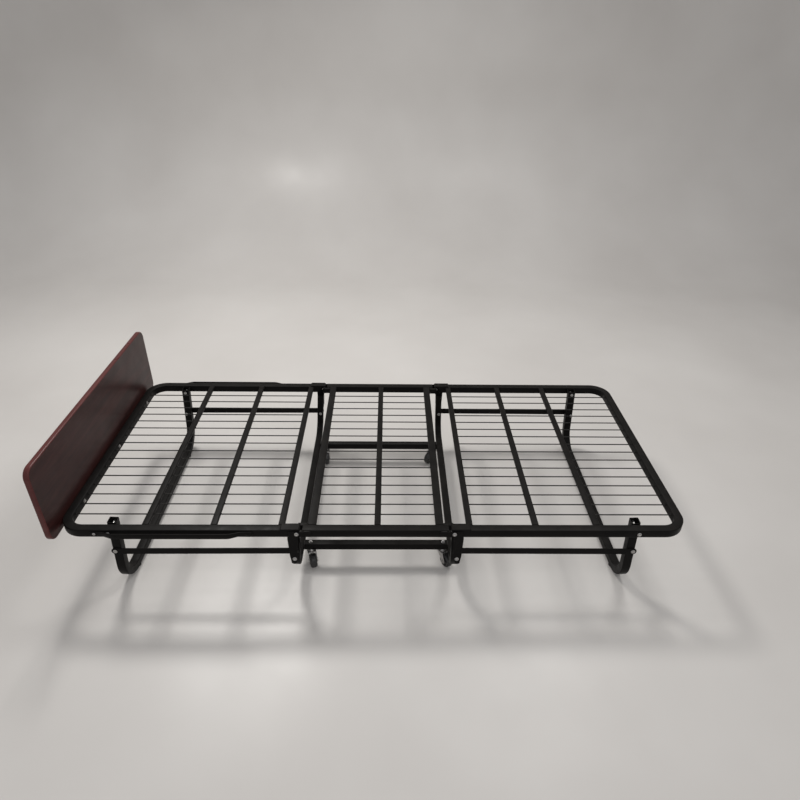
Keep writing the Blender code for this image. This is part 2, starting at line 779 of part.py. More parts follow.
def make_side_guard(side, material):
    """Flat strip bowed out from the head rail, with flattened ends and its two fixing bolts."""
    path = guard_path()
    bm = bmesh.new()
    rings = []
    for index, (along, bow, height) in enumerate(path):
        before = path[max(index - 1, 0)]
        after = path[min(index + 1, len(path) - 1)]
        slope = math.atan2(after[1] - before[1], after[0] - before[0])
        middle = RAIL_OUTSIDE + GAP + GUARD_PLATE / 2 + bow
        ring = []
        for across, up in rectangle(GUARD_PLATE, height):
            x = -(GUARD_INNER_X - GUARD_INNER_TAB + along - across * math.sin(slope))
            y = side * (middle + across * math.cos(slope))
            ring.append(bm.verts.new(at(x, y, DECK_Z - GUARD_DROP + up)))
        rings.append(ring)
    close_rings(bm, rings)
    guard = object_from(bm, f"side_guard_{SIDE_NAMES[side]}", material)
    bolts = []
    seat = GUARD_PLATE * 0.6
    profile = (
        (GUARD_BOLT_RADIUS, -TUBE_WALL - 0.004),
        (GUARD_BOLT_RADIUS, seat),
        (0.0060, seat),
        (0.0060, GUARD_PLATE + 0.0008),
        (0.0042, GUARD_PLATE + 0.0020),
    )
    for x in (GUARD_INNER_X, GUARD_OUTER_X):
        origin = at(-x, side * (RAIL_OUTSIDE + GAP), DECK_Z - GUARD_DROP)
        bolts.append(turned_object("bolt", origin, AXIS_Y * side, profile, 12, material))
    fuse(guard, bolts)
    place_origin(guard, fold_pivot(HEAD))
    return guard


# ---- casters ------------------------------------------------------------------------------


def hoop_cross_x(end):
    """Inner face of a hoop's cross tube, from the middle of the frame, at its nearest point."""
    half = half_height_of_slanted_tube(HOOP_TUBE, HOOP_SLANT[end])
    drop = HOOP_BOTTOM_DROP - FOLD_DROP - half
    return FOLD_X + HOOP_OUT + drop * math.tan(HOOP_SLANT[end]) - half


def make_caster_bar(side, material):
    z = DECK_Z - CASTER_BAR_DROP + HOOP_TUBE / 2
    start, stop = (end * (hoop_cross_x(end) - GAP) for end in (HEAD, FOOT))
    y = side * CASTER_Y
    bm = bmesh.new()
    outer, inner = tube_outlines(HOOP_TUBE)
    add_sweep(bm, straight_stations(at(start, y, z), at(stop, y, z), AXIS_Y, AXIS_Z), outer, inner)
    bar = object_from(bm, f"caster_bar_{SIDE_NAMES[side]}", material)
    length = HOOP_TUBE + 0.004
    drill(bar, [(at(end * CASTER_X, y, z), AXIS_Z, STEM_RADIUS + GAP, length) for end in (HEAD, FOOT)])
    return bar


def fork_cheek_outline(front, back, crown):
    """Side view of a fork plate in (trail, up) from the stem: round at the axle, straight to the crown."""
    radius = 0.0085
    points = []
    steps = 7
    for step in range(steps + 1):
        angle = math.radians(-170) + math.radians(185) * step / steps
        points.append((CASTER_TRAIL + radius * math.cos(angle), WHEEL_RADIUS + radius * math.sin(angle)))
    return points + [(front, crown - 0.0008), (back, crown - 0.0008), (back, crown - 0.004)]


def make_caster_fork(end, side, material):
    """Threaded stem with its nut, swivel head and two fork plates, as one pressed assembly."""
    bar_bottom = DECK_Z - CASTER_BAR_DROP
    bar_top = bar_bottom + HOOP_TUBE
    crown = bar_bottom - 0.0085
    profile = (
        (0.0105, crown - 0.0015),
        (0.0120, crown + 0.0015),
        (0.0120, bar_bottom - 0.0022),
        (0.0105, bar_bottom - GAP),
        (STEM_RADIUS, bar_bottom - GAP),
        (STEM_RADIUS, bar_top + GAP),
        (STEM_NUT_RADIUS, bar_top + GAP),
        (STEM_NUT_RADIUS, bar_top + 0.0045),
        (STEM_RADIUS, bar_top + 0.0045),
        (STEM_RADIUS - 0.0010, bar_top + 0.0075),
    )
    name = f"caster_fork_{corner_name(end, side)}"
    centre = Vector((0, 0, 0))
    trail, axle = -AXIS_Y, -AXIS_X
    fork = turned_object(name, centre, AXIS_Z, profile, 12, material)
    front, back = FORK_WIDTH * 0.75, -FORK_WIDTH * 0.5
    half = FORK_INSIDE / 2
    reach = half + FORK_PLATE
    bm = bmesh.new()
    middle = trail * ((front + back) / 2)
    stations = [(middle + AXIS_Z * z, axle, trail) for z in (crown - FORK_PLATE, crown)]
    add_sweep(bm, stations, rectangle(2 * reach, front - back))
    parts = [object_from(bm, "crown", material)]
    outline = fork_cheek_outline(front - 0.0005, back + 0.0005, crown)
    for hand in (-1, 1):
        bm = bmesh.new()
        stations = [(axle * (hand * across), trail, AXIS_Z) for across in (half, reach)]
        add_sweep(bm, stations, outline)
        parts.append(object_from(bm, "cheek", material))
    fuse(fork, parts)
    axle_hole = trail * CASTER_TRAIL + AXIS_Z * WHEEL_RADIUS
    drill(fork, [(axle_hole, axle, AXLE_RADIUS + GAP, 0.05)])
    swing = Matrix.Rotation(math.radians(CASTER_HEADING[(end, side)]), 4, "Z")
    fork.data.transform(Matrix.Translation(at(end * CASTER_X, side * CASTER_Y, 0)) @ swing)
    place_origin(fork, stem_point(end, side))
    return fork


def stem_point(end, side):
    return at(end * CASTER_X, side * CASTER_Y, DECK_Z - CASTER_BAR_DROP)


def heading_axes(end, side):
    """Unit vectors along the caster's trail and along its axle."""
    angle = math.radians(CASTER_HEADING[(end, side)])
    trail = Vector((math.sin(angle), -math.cos(angle), 0))
    return trail, trail.cross(AXIS_Z)


def axle_point(end, side):
    point = stem_point(end, side) + heading_axes(end, side)[0] * CASTER_TRAIL
    return Vector((point.x, point.y, WHEEL_RADIUS))


def make_wheel(end, side, material):
    origin = axle_point(end, side)
    trail, axle = heading_axes(end, side)
    half = WHEEL_WIDTH / 2
    profile = [
        (AXLE_RADIUS + GAP, -half),
        (0.0180, -half),
        (0.0225, -half + 0.0012),
        (WHEEL_RADIUS, -half + 0.0045),
    ]
    profile += [(radius, -along) for radius, along in reversed(profile)]
    bm = bmesh.new()
    sides = 22
    rings = []
    for radius, along in profile:
        ring = []
        for i in range(sides):
            angle = 2 * math.pi * i / sides
            offset = trail * (radius * math.sin(angle)) - AXIS_Z * (radius * math.cos(angle))
            ring.append(bm.verts.new(origin + axle * along + offset))
        rings.append(ring)
    skin_rings(bm, rings + rings[:1])
    wheel = object_from(bm, f"caster_wheel_{corner_name(end, side)}", material)
    place_origin(wheel, origin)
    return wheel


def make_axle(end, side, material):
    seat = FORK_INSIDE / 2 + FORK_PLATE + GAP
    profile = [(0.0045, -seat - 0.0020), (0.0065, -seat - 0.0008), (0.0065, -seat), (AXLE_RADIUS, -seat)]
    profile += [(radius, -along) for radius, along in reversed(profile)]
    name = f"caster_axle_{corner_name(end, side)}"
    return turned_object(name, axle_point(end, side), heading_axes(end, side)[1], profile, 12, material)


# ---- assembly -----------------------------------------------------------------------------


def make_empty(name, location, parent=None):
    empty = bpy.data.objects.new(name, None)
    empty.empty_display_size = 0.03
    bpy.context.scene.collection.objects.link(empty)
    attach(empty, parent, location)
    return empty


def world_location(obj):
    total = Vector(obj.location)
    while obj.parent is not None:
        obj = obj.parent
        total += obj.location
    return total


def attach(obj, parent, location=None):
    """Parent obj and keep its world place; no parent here is turned or scaled."""
    world = Vector(obj.location if location is None else location)
    obj.parent = parent
    obj.location = world if parent is None else world - world_location(parent)


def build_middle(materials):
    steel = materials["powder_coat"]
    base = make_empty("base_axis", at(0, 0, 0))
    pieces = [make_middle_deck(steel)]
    for side in (NEAR, FAR):
        pieces.append(make_middle_rail(side, steel))
        pieces.append(make_caster_bar(side, steel))
    for end in (HEAD, FOOT):
        pieces.append(make_hoop(end, steel))
    for piece in pieces:
        attach(piece, base)
    return base


def build_section(end, materials, base):
    steel, zinc = materials["powder_coat"], materials["zinc"]
    name = END_NAMES[end]
    fold = make_empty(f"{name}_fold_axis", fold_pivot(end), base)
    leg_axis = make_empty(f"{name}_leg_axis", leg_pivot(end), fold)
    attach(make_end_frame(end, steel), fold)
    attach(make_end_deck(end, steel), fold)
    attach(make_leg(end, steel), leg_axis)
    for side in (NEAR, FAR):
        link_axis = make_empty(f"link_axis_{corner_name(end, side)}", root_link_pivot(end), base)
        attach(make_link(end, side, steel), link_axis)
        attach(make_hinge_plate(end, side, steel), base)
        attach(make_fold_pin(end, side, zinc), base)
        attach(make_link_base_pin(end, side, zinc), base)
        attach(make_leg_pin(end, side, zinc), fold)
        attach(make_link_leg_pin(end, side, zinc), leg_axis)
        attach(make_foot_pad(end, side, materials["rubber"]), leg_axis)
    return fold


def build_head_fittings(materials, fold):
    attach(make_headboard(materials["board"]), fold)
    for index, y in enumerate(BOARD_BOLT_Y, start=1):
        attach(make_board_bolt(index, y, materials["zinc"]), fold)
    for side in (NEAR, FAR):
        attach(make_side_guard(side, materials["powder_coat"]), fold)


def build_casters(materials, base):
    for end, side in CORNERS:
        swivel = make_empty(f"swivel_axis_{corner_name(end, side)}", stem_point(end, side), base)
        spin = make_empty(f"wheel_axis_{corner_name(end, side)}", axle_point(end, side), swivel)
        attach(make_caster_fork(end, side, materials["zinc"]), swivel)
        attach(make_axle(end, side, materials["zinc"]), swivel)
        attach(make_wheel(end, side, materials["wheel"]), spin)


def main():
    for obj in list(bpy.data.objects):
        bpy.data.objects.remove(obj)
    materials = make_materials()
    base = build_middle(materials)
    head_fold = build_section(HEAD, materials, base)
    build_section(FOOT, materials, base)
    build_head_fittings(materials, head_fold)
    build_casters(materials, base)


main()
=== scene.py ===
"""Looks of a folding rollaway bed: finely meshed steelwork, laminate headboard, rivets and casters.

Row frame: +X from the head end to the foot end, +Y across the bed, +Z up, in metres.
"""

import json
import math

import bmesh
import bpy
from mathutils import Matrix, Vector

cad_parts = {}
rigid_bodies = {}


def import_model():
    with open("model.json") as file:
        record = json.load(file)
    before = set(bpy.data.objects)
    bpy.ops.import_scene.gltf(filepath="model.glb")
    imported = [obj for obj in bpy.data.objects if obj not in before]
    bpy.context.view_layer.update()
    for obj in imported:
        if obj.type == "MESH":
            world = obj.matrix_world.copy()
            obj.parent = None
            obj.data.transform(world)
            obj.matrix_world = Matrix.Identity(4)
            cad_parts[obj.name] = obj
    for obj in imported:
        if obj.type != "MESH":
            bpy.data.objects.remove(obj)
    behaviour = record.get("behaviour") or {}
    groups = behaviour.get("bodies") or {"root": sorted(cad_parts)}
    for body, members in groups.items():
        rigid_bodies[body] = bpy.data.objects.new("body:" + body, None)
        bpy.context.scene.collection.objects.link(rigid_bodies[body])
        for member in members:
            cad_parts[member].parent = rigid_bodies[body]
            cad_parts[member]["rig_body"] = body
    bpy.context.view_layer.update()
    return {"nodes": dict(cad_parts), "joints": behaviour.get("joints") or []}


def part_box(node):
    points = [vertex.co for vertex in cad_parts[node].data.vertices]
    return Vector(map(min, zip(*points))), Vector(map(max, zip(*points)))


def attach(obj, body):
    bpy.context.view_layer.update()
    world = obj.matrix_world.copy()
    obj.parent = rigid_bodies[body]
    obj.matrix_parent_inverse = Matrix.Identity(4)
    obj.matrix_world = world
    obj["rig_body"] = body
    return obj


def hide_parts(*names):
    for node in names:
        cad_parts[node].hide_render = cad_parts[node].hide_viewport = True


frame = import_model()

# ---- places and sizes of the CAD frame ----------------------------------------------------

JOINTS = {joint["name"]: joint for joint in frame["joints"]}
HEAD, FOOT = -1, 1
NEAR, FAR = -1, 1
END_NAMES = {HEAD: "head", FOOT: "foot"}
SIDE_NAMES = {NEAR: "near", FAR: "far"}
CORNERS = [(end, side) for end in (HEAD, FOOT) for side in (NEAR, FAR)]
AXIS_X = Vector((1, 0, 0))
AXIS_Y = Vector((0, 1, 0))
AXIS_Z = Vector((0, 0, 1))


def joint_point(name):
    """Where a joint of the CAD is at rest."""
    return Vector(JOINTS[name]["pos_m"])


CENTRE_X = (joint_point("head_fold").x + joint_point("foot_fold").x) / 2
DECK_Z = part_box("middle_deck")[1].z
RAIL_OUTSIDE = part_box("middle_rail_far")[1].y
RAIL_TUBE = RAIL_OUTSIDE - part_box("middle_rail_far")[0].y
MIDDLE_RAIL_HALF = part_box("middle_rail_far")[1].x - CENTRE_X
HALF_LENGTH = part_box("foot_frame")[1].x - CENTRE_X
HALF_RAIL = RAIL_TUBE / 2
RAIL_Y = RAIL_OUTSIDE - HALF_RAIL
RAIL_Z = DECK_Z - HALF_RAIL
RAIL_INSIDE = RAIL_OUTSIDE - RAIL_TUBE

GAP = 0.0003
FOLD_X = joint_point("foot_fold").x - CENTRE_X
FOLD_DROP = DECK_Z - joint_point("foot_fold").z
LEG_X = joint_point("foot_leg_fold").x - CENTRE_X
LEG_DROP = DECK_Z - joint_point("foot_leg_fold").z
LINK_OUT = joint_point("link_fold_foot_far").x - CENTRE_X - FOLD_X
LINK_DROP = DECK_Z - FOLD_DROP - joint_point("link_fold_foot_far").z
LINK_LENGTH = math.hypot(LEG_X - FOLD_X, LEG_DROP - FOLD_DROP)

LEG_TUBE = 0.028
HOOP_TUBE = 0.025
TUBE_WALL = 0.0015
TUBE_CORNER = 0.0026
CORNER_STEPS = 4
FRAME_BEND = 0.0610
FRAME_START = FOLD_X + 0.0105
LEG_BEND = 0.084
LEG_TOP = DECK_Z - 0.001
LEG_BOTTOM = 0.0045
HOOP_BEND = 0.065
HOOP_OUT = 0.0075
HOOP_TOP = DECK_Z - 0.028
HOOP_BOTTOM = DECK_Z - 0.2270
BEND_STEPS = 22

BAR_WIDTH = 0.020
WIDE_BAR_WIDTH = 0.0255
BAR_DEPTH = 0.010
BAR_BOTTOM = DECK_Z - BAR_DEPTH
WIRE_COUNT = 16
WIRE_PITCH = 0.0485
WIRE_RADIUS = 0.0020
WIRE_SINK = 0.0005
WIRE_Z = BAR_BOTTOM - WIRE_RADIUS + WIRE_SINK
MIDDLE_BARS = (-0.1985, 0.005, 0.1985)
HEAD_BARS = (-0.293, -0.503, -0.714)
FOOT_BARS = (0.292, 0.500, 0.692)

LEG_SLANT = {HEAD: math.radians(3.4), FOOT: math.radians(2.5)}
HOOP_SLANT = {HEAD: math.radians(3.5), FOOT: math.radians(1.5)}
LINK_HEIGHT = 0.024
LINK_PLATE = 0.003
HINGE_PLATE = 0.003
STRAP_LENGTH = 0.051
EAR_PLATE = 0.003
PIN_RADIUS = 0.004
PIN_HEAD_RADIUS = 0.007
PIN_HEAD = 0.0026
LOW_HEAD = 0.0018
COLLAR_RADIUS = 0.0070

HINGE_INSIDE = RAIL_OUTSIDE + GAP
HINGE_OUTSIDE = HINGE_INSIDE + HINGE_PLATE
LINK_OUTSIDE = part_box("folding_link_foot_far")[1].y
LINK_INSIDE = LINK_OUTSIDE - LINK_PLATE
ARM_OUTSIDE = LINK_INSIDE - GAP
LEG_ARM_INSIDE = ARM_OUTSIDE - LEG_TUBE
HOOP_ARM_INSIDE = ARM_OUTSIDE - HOOP_TUBE

WHEEL_RADIUS = joint_point("wheel_spin_foot_far").z
WHEEL_WIDTH = 0.022
AXLE_RADIUS = 0.004
FORK_INSIDE = 0.0245
FORK_PLATE = 0.0025
FORK_DROP = 0.0085
FORK_LENGTH = 0.0275
STEM_RADIUS = 0.0035

BOARD_CORNER = 0.032
BOARD_EDGE = 0.0035
GUARD_INNER_X = 0.394
GUARD_OUTER_X = 0.861
GUARD_PLATE = 0.0032
GUARD_INNER_TAB = 0.016
GUARD_OUTER_TAB = 0.011
GUARD_Z = DECK_Z - 0.0125


def at(x, y, z):
    """A point with x measured from the middle of the frame."""
    return Vector((CENTRE_X + x, y, z))


def corner_name(end, side):
    return f"{END_NAMES[end]}_{SIDE_NAMES[side]}"


# ---- materials ----------------------------------------------------------------------------


class Shader:
    """A new material with its Principled shader, and short calls that add and join nodes."""

    def __init__(self, name):
        self.material = bpy.data.materials.new(name)
        self.material.use_nodes = True
        self.tree = self.material.node_tree
        self.out = self.tree.nodes["Principled BSDF"]
        self.coords = self.node("ShaderNodeTexCoord").outputs["Object"]

    def node(self, kind, **values):
        node = self.tree.nodes.new(kind)
        for key, value in values.items():
            setattr(node, key, value)
        return node

    def join(self, source, target):
        self.tree.links.new(source, target)

    def stretched(self, scale):
        mapping = self.node("ShaderNodeMapping")
        mapping.inputs["Scale"].default_value = scale
        self.join(self.coords, mapping.inputs["Vector"])
        return mapping.outputs["Vector"]

    def noise(self, scale, detail=3.0, rough=0.5, vector=None, distortion=0.0):
        noise = self.node("ShaderNodeTexNoise")
        noise.inputs["Scale"].default_value = scale
        noise.inputs["Detail"].default_value = detail
        noise.inputs["Roughness"].default_value = rough
        noise.inputs["Distortion"].default_value = distortion
        self.join(vector or self.coords, noise.inputs["Vector"])
        return noise.outputs["Fac"]

    def ramp(self, factor, stops):
        """Colour ramp of (position, colour) stops."""
        ramp = self.node("ShaderNodeValToRGB")
        elements = ramp.color_ramp.elements
        while len(elements) < len(stops):
            elements.new(0.5)
        for element, (position, colour) in zip(elements, stops):
            element.position = position
            element.color = (*colour, 1.0)
        self.join(factor, ramp.inputs["Fac"])
        return ramp.outputs["Color"]

    def spread(self, factor, low, high, start=0.3, end=0.7):
        """Map a factor between start and end to values from low to high."""
        node = self.node("ShaderNodeMapRange")
        limits = {"From Min": start, "From Max": end, "To Min": low, "To Max": high}
        for key, value in limits.items():
            node.inputs[key].default_value = value
        self.join(factor, node.inputs["Value"])
        return node.outputs["Result"]

    def mix(self, factor, under, over):
        """Mix a colour from a node towards a plain colour."""
        node = self.node("ShaderNodeMix", data_type="RGBA")
        self.join(factor, node.inputs["Factor"])
        colours = {socket.name: socket for socket in node.inputs if socket.type == "RGBA"}
        self.join(under, colours["A"])
        colours["B"].default_value = (*over, 1.0)
        return next(socket for socket in node.outputs if socket.type == "RGBA")

    def multiply(self, first, second):
        node = self.node("ShaderNodeMath", operation="MULTIPLY")
        self.join(first, node.inputs[0])
        self.join(second, node.inputs[1])
        return node.outputs[0]

    def upward(self):
        """How far a face points up, from 0 to 1, in the row frame at rest."""
        split = self.node("ShaderNodeSeparateXYZ")
        geometry = self.node("ShaderNodeNewGeometry")
        self.join(geometry.outputs["Normal"], split.inputs[0])
        return self.spread(split.outputs["Z"], 0.0, 1.0, 0.5, 1.0)

    def bumps(self, *layers):
        """Chain bump layers of (height, strength, distance in metres) into the shader's normal."""
        previous = None
        for height, strength, distance in layers:
            bump = self.node("ShaderNodeBump")
            bump.inputs["Strength"].default_value = strength
            bump.inputs["Distance"].default_value = distance
            self.join(height, bump.inputs["Height"])
            if previous is not None:
                self.join(previous, bump.inputs["Normal"])
            previous = bump.outputs["Normal"]
        self.join(previous, self.out.inputs["Normal"])

    def finish(self, colour, roughness, metallic=0.0, **extra):
        self.join(colour, self.out.inputs["Base Color"])
        self.join(roughness, self.out.inputs["Roughness"])
        self.out.inputs["Metallic"].default_value = metallic
        for key, value in extra.items():
            self.out.inputs[key.replace("_", " ")].default_value = value
        return self.material


def powder_coat():
    """Satin black powder coat: orange peel, faint scuffs, and a painted sheen that lightens top
    faces in patches.
    """
    black, soft_black = (0.0046, 0.0042, 0.0042), (0.0080, 0.0073, 0.0069)
    dust_and_sheen_colour, scuff_colour = (0.17, 0.155, 0.135), (0.034, 0.032, 0.030)
    shader = Shader("powder_coat_satin")
    tone = shader.ramp(shader.noise(7.0, 4.0), [(0.30, black), (0.72, soft_black)])
    # Painted sheen: faces that point up are mixed, in patches, towards a light warm grey, standing
    # in for light falling on them.
    sheen_patches = shader.spread(shader.noise(24.0, 6.0, 0.65), 0.0, 0.035)
    sheened_tone = shader.mix(shader.multiply(shader.upward(), sheen_patches), tone, dust_and_sheen_colour)
    scuffs = shader.noise(90.0, 5.0, 0.6, shader.stretched((1.0, 0.25, 3.0)))
    colour = shader.mix(shader.spread(scuffs, 0.0, 0.16, 0.62, 0.80), sheened_tone, scuff_colour)
    shader.bumps(
        (shader.noise(1300.0, 2.0), 0.22, 0.00012),
        (shader.noise(260.0, 3.0), 0.12, 0.00025),
    )
    roughness = shader.spread(shader.noise(38.0, 4.0), 0.36, 0.50)
    return shader.finish(colour, roughness, Specular_IOR_Level=0.065)


def wire_coat():
    """The same coat on the drawn wires, a little glossier."""
    black, soft_black = (0.007, 0.0065, 0.0062), (0.013, 0.012, 0.011)
    shader = Shader("wire_coat")
    tone = shader.ramp(shader.noise(30.0, 4.0), [(0.3, black), (0.7, soft_black)])
    shader.bumps((shader.noise(1500.0, 2.0), 0.15, 0.0001))
    roughness = shader.spread(shader.noise(120.0, 3.0), 0.34, 0.48)
    return shader.finish(tone, roughness, Specular_IOR_Level=0.2)


def weld_coat():
    """Powder coat that has run thin over weld metal."""
    black, bare = (0.007, 0.0065, 0.006), (0.022, 0.020, 0.018)
    shader = Shader("weld_coat")
    tone = shader.ramp(shader.noise(240.0, 5.0), [(0.3, black), (0.75, bare)])
    shader.bumps((shader.noise(900.0, 4.0), 0.45, 0.0003))
    roughness = shader.spread(shader.noise(150.0), 0.35, 0.60)
    return shader.finish(tone, roughness, Specular_IOR_Level=0.25)


def zinc():
    """Dulled zinc plate with fine handling marks, from a cool to a faintly warm grey."""
    grime_colour = (0.12, 0.115, 0.11)
    shader = Shader("zinc_plate")
    tone = shader.ramp(
        shader.noise(170.0, 4.0),
        [(0.25, (0.30, 0.30, 0.31)), (0.55, (0.42, 0.41, 0.40)), (0.80, (0.47, 0.45, 0.41))],
    )
    grime = shader.spread(shader.noise(420.0, 5.0, 0.6), 0.0, 0.45, 0.55, 0.80)
    colour = shader.mix(grime, tone, grime_colour)
    shader.bumps(
        (shader.noise(900.0, 3.0, 0.5, shader.stretched((1.0, 1.0, 0.15))), 0.18, 0.0001),
        (shader.noise(300.0, 2.0), 0.10, 0.0002),
    )
    return shader.finish(colour, shader.spread(shader.noise(260.0, 3.0), 0.24, 0.42), 1.0)


def laminate(name, dark, mid, light, gloss):
    """Wood-grain laminate with the grain along Y: broad figure, streaks and fine pores."""
    shader = Shader(name)
    figure = shader.noise(2.4, 5.0, 0.55, shader.stretched((1.0, 1.0, 9.0)), 0.9)
    streaks = shader.noise(9.0, 6.0, 0.62, shader.stretched((6.0, 0.7, 11.0)), 0.35)
    pores = shader.noise(60.0, 3.0, 0.6, shader.stretched((9.0, 0.45, 14.0)))
    base = shader.ramp(figure, [(0.30, dark), (0.50, mid), (0.72, light)])
    streaked = shader.mix(shader.spread(streaks, 0.0, 0.55, 0.42, 0.66), base, dark)
    pore_colour = tuple(channel * 0.45 for channel in dark)
    colour = shader.mix(shader.spread(pores, 0.0, 0.55, 0.58, 0.70), streaked, pore_colour)
    shader.bumps((pores, 0.12, 0.00015), (shader.noise(700.0, 2.0), 0.05, 0.0001))
    roughness = shader.spread(shader.noise(14.0, 4.0), gloss, gloss + 0.09)
    sheen = {"Specular_IOR_Level": 0.20, "Coat_Weight": 0.03, "Coat_Roughness": 0.22}
    return shader.finish(colour, roughness, **sheen)


def rubber(name, low, high, rough_low, rough_high, grain):
    """Moulded rubber or plastic in greys from low to high, with specks of dust and a fine grain."""
    dust_and_sheen_colour = (0.085, 0.080, 0.074)
    shader = Shader(name)
    tone = shader.ramp(shader.noise(60.0, 4.0), [(0.3, low), (0.7, high)])
    dust = shader.spread(shader.noise(210.0, 6.0, 0.7), 0.0, 0.35, 0.56, 0.78)
    colour = shader.mix(dust, tone, dust_and_sheen_colour)
    shader.bumps((shader.noise(grain, 3.0), 0.30, 0.0002))
    return shader.finish(colour, shader.spread(shader.noise(90.0), rough_low, rough_high))


def floor_material():
    """Pale polished floor with broad, faint clouding."""
    shade, light = (0.545, 0.525, 0.505), (0.600, 0.582, 0.562)
    shader = Shader("pale_floor")
    tone = shader.ramp(shader.noise(1.3, 4.0), [(0.3, shade), (0.7, light)])
    shader.bumps((shader.noise(40.0, 2.0), 0.02, 0.0005))
    roughness = shader.spread(shader.noise(3.0, 3.0), 0.30, 0.42)
    return shader.finish(tone, roughness, Specular_IOR_Level=0.35)


BOARD_BROWNS = (0.019, 0.0060, 0.0056), (0.037, 0.0115, 0.0105), (0.056, 0.0185, 0.0168)
BAND_REDS = (0.074, 0.019, 0.018), (0.096, 0.027, 0.025), (0.120, 0.037, 0.034)
PAD_GREYS = (0.010, 0.010, 0.010), (0.020, 0.020, 0.020)
TYRE_GREYS = (0.009, 0.009, 0.0095), (0.017, 0.017, 0.018)
HUB_GREYS = (0.016, 0.016, 0.017), (0.028, 0.028, 0.029)
MATERIALS = {
    "coat": powder_coat(),
    "wire": wire_coat(),
    "weld": weld_coat(),
    "zinc": zinc(),
    "board": laminate("board_laminate", *BOARD_BROWNS, 0.30),
    "band": laminate("board_edge_band", *BAND_REDS, 0.26),
    "rubber": rubber("foot_rubber", *PAD_GREYS, 0.62, 0.82, 700.0),
    "tyre": rubber("caster_tyre", *TYRE_GREYS, 0.36, 0.52, 500.0),
    "hub": rubber("caster_hub", *HUB_GREYS, 0.30, 0.42, 900.0),
}

# ---- mesh helpers -------------------------------------------------------------------------


def rounded_rectangle(width, height, radius, steps):
    """Outline of a rectangle centred on 0, anticlockwise, with each corner as an arc."""
    outline = []
    for quarter in range(4):
        start = math.pi / 2 * quarter
        centre_a = (width / 2 - radius) * (1 if quarter in (0, 3) else -1)
        centre_b = (height / 2 - radius) * (1 if quarter in (0, 1) else -1)
        for step in range(steps + 1):
            angle = start + math.pi / 2 * step / steps
            a, b = radius * math.cos(angle), radius * math.sin(angle)
            outline.append((centre_a + a, centre_b + b))
    return outline


def rounded_polygon(corners, steps):
    """Outline with each (a, b, radius) corner turned into an arc."""
    outline = []
    count = len(corners)
    for i, (a, b, radius) in enumerate(corners):
        here = Vector((a, b))
        before = (Vector(corners[i - 1][:2]) - here).normalized()
        after = (Vector(corners[(i + 1) % count][:2]) - here).normalized()
        half = before.angle(after) / 2
        start = here + before * (radius / math.tan(half))
        centre = here + (before + after).normalized() * (radius / math.sin(half))
        turn = math.pi - 2 * half
        hand = 1 if before.x * after.y - before.y * after.x < 0 else -1
        first = start - centre
        for step in range(steps + 1):
            angle = hand * turn * step / steps
            cos, sin = math.cos(angle), math.sin(angle)
            a, b = first.x * cos - first.y * sin, first.x * sin + first.y * cos
            outline.append((centre.x + a, centre.y + b))
    return outline


def skin(bm, rings, closed=False):
    """Quads between following rings; the made faces are returned."""
    faces = []
    pairs = list(zip(rings, rings[1:]))
    if closed:
        pairs.append((rings[-1], rings[0]))
    for ring, following in pairs:
        count = len(ring)
        for i in range(count):
            j = (i + 1) % count
            faces.append(bm.faces.new((ring[i], ring[j], following[j], following[i])))
    return faces


def add_rings(bm, stations, outline):
    """A ring of vertices at each station, from the outline's (across, up) points."""
    return [
        [bm.verts.new(point + across * a + up * b) for a, b in outline]
        for point, across, up in stations
    ]


def add_solid(bm, stations, outline):
    """Sweep a closed outline through stations of (point, across, up) and cap both ends."""
    rings = add_rings(bm, stations, outline)
    skin(bm, rings)
    bm.faces.new(rings[0])
    bm.faces.new(rings[-1])


def add_tube(bm, stations, size):
    """Sweep a square tube with rounded corners and open ends."""
    bore, bore_corner = size - 2 * TUBE_WALL, TUBE_CORNER - TUBE_WALL
    outside = add_rings(bm, stations, rounded_rectangle(size, size, TUBE_CORNER, CORNER_STEPS))
    inside = add_rings(bm, stations, rounded_rectangle(bore, bore, bore_corner, CORNER_STEPS))
    skin(bm, outside)
    skin(bm, inside)
    for end in (0, -1):
        skin(bm, [outside[end], inside[end]])


def straight(start, end, across, up):
    return [(start, across, up), (end, across, up)]


def u_stations(origin, out, reach, half_width, bend):
    """Stations of a U in the plane of out and Y: up one arm, across, and back down the other."""
    up = out.cross(AXIS_Y).normalized()
    stations = [(origin - AXIS_Y * half_width, -AXIS_Y, up)]
    for side, start in ((-1, -math.pi / 2), (1, 0.0)):
        for step in range(BEND_STEPS + 1):
            angle = start + math.pi / 2 * step / BEND_STEPS
            radial = out * math.cos(angle) + AXIS_Y * math.sin(angle)
            centre = origin + out * (reach - bend) + AXIS_Y * (side * (half_width - bend))
            stations.append((centre + radial * bend, radial, up))
    stations.append((origin + AXIS_Y * half_width, AXIS_Y, up))
    return stations


def add_turned(bm, origin, axis, profile, sides, capped=True):
    """A turned solid from (radius, distance along axis) points."""
    axis = Vector(axis).normalized()
    first = axis.orthogonal().normalized()
    second = axis.cross(first)
    rings = []
    for radius, along in profile:
        ring = []
        for i in range(sides):
            angle = 2 * math.pi * i / sides
            offset = (first * math.cos(angle) + second * math.sin(angle)) * radius
            ring.append(bm.verts.new(origin + axis * along + offset))
        rings.append(ring)
    faces = skin(bm, rings, closed=not capped)
    if capped:
        faces += [bm.faces.new(rings[0]), bm.faces.new(rings[-1])]
    return faces


def add_plate(bm, outline, origin, end, low, high):
    """Flat plate facing across the bed, between two y values, from a (towards end, up) outline."""
    low, high = sorted((low, high))
    start = Vector((origin.x, low, origin.z))
    add_solid(bm, straight(start, start + AXIS_Y * (high - low), AXIS_X * end, AXIS_Z), outline)


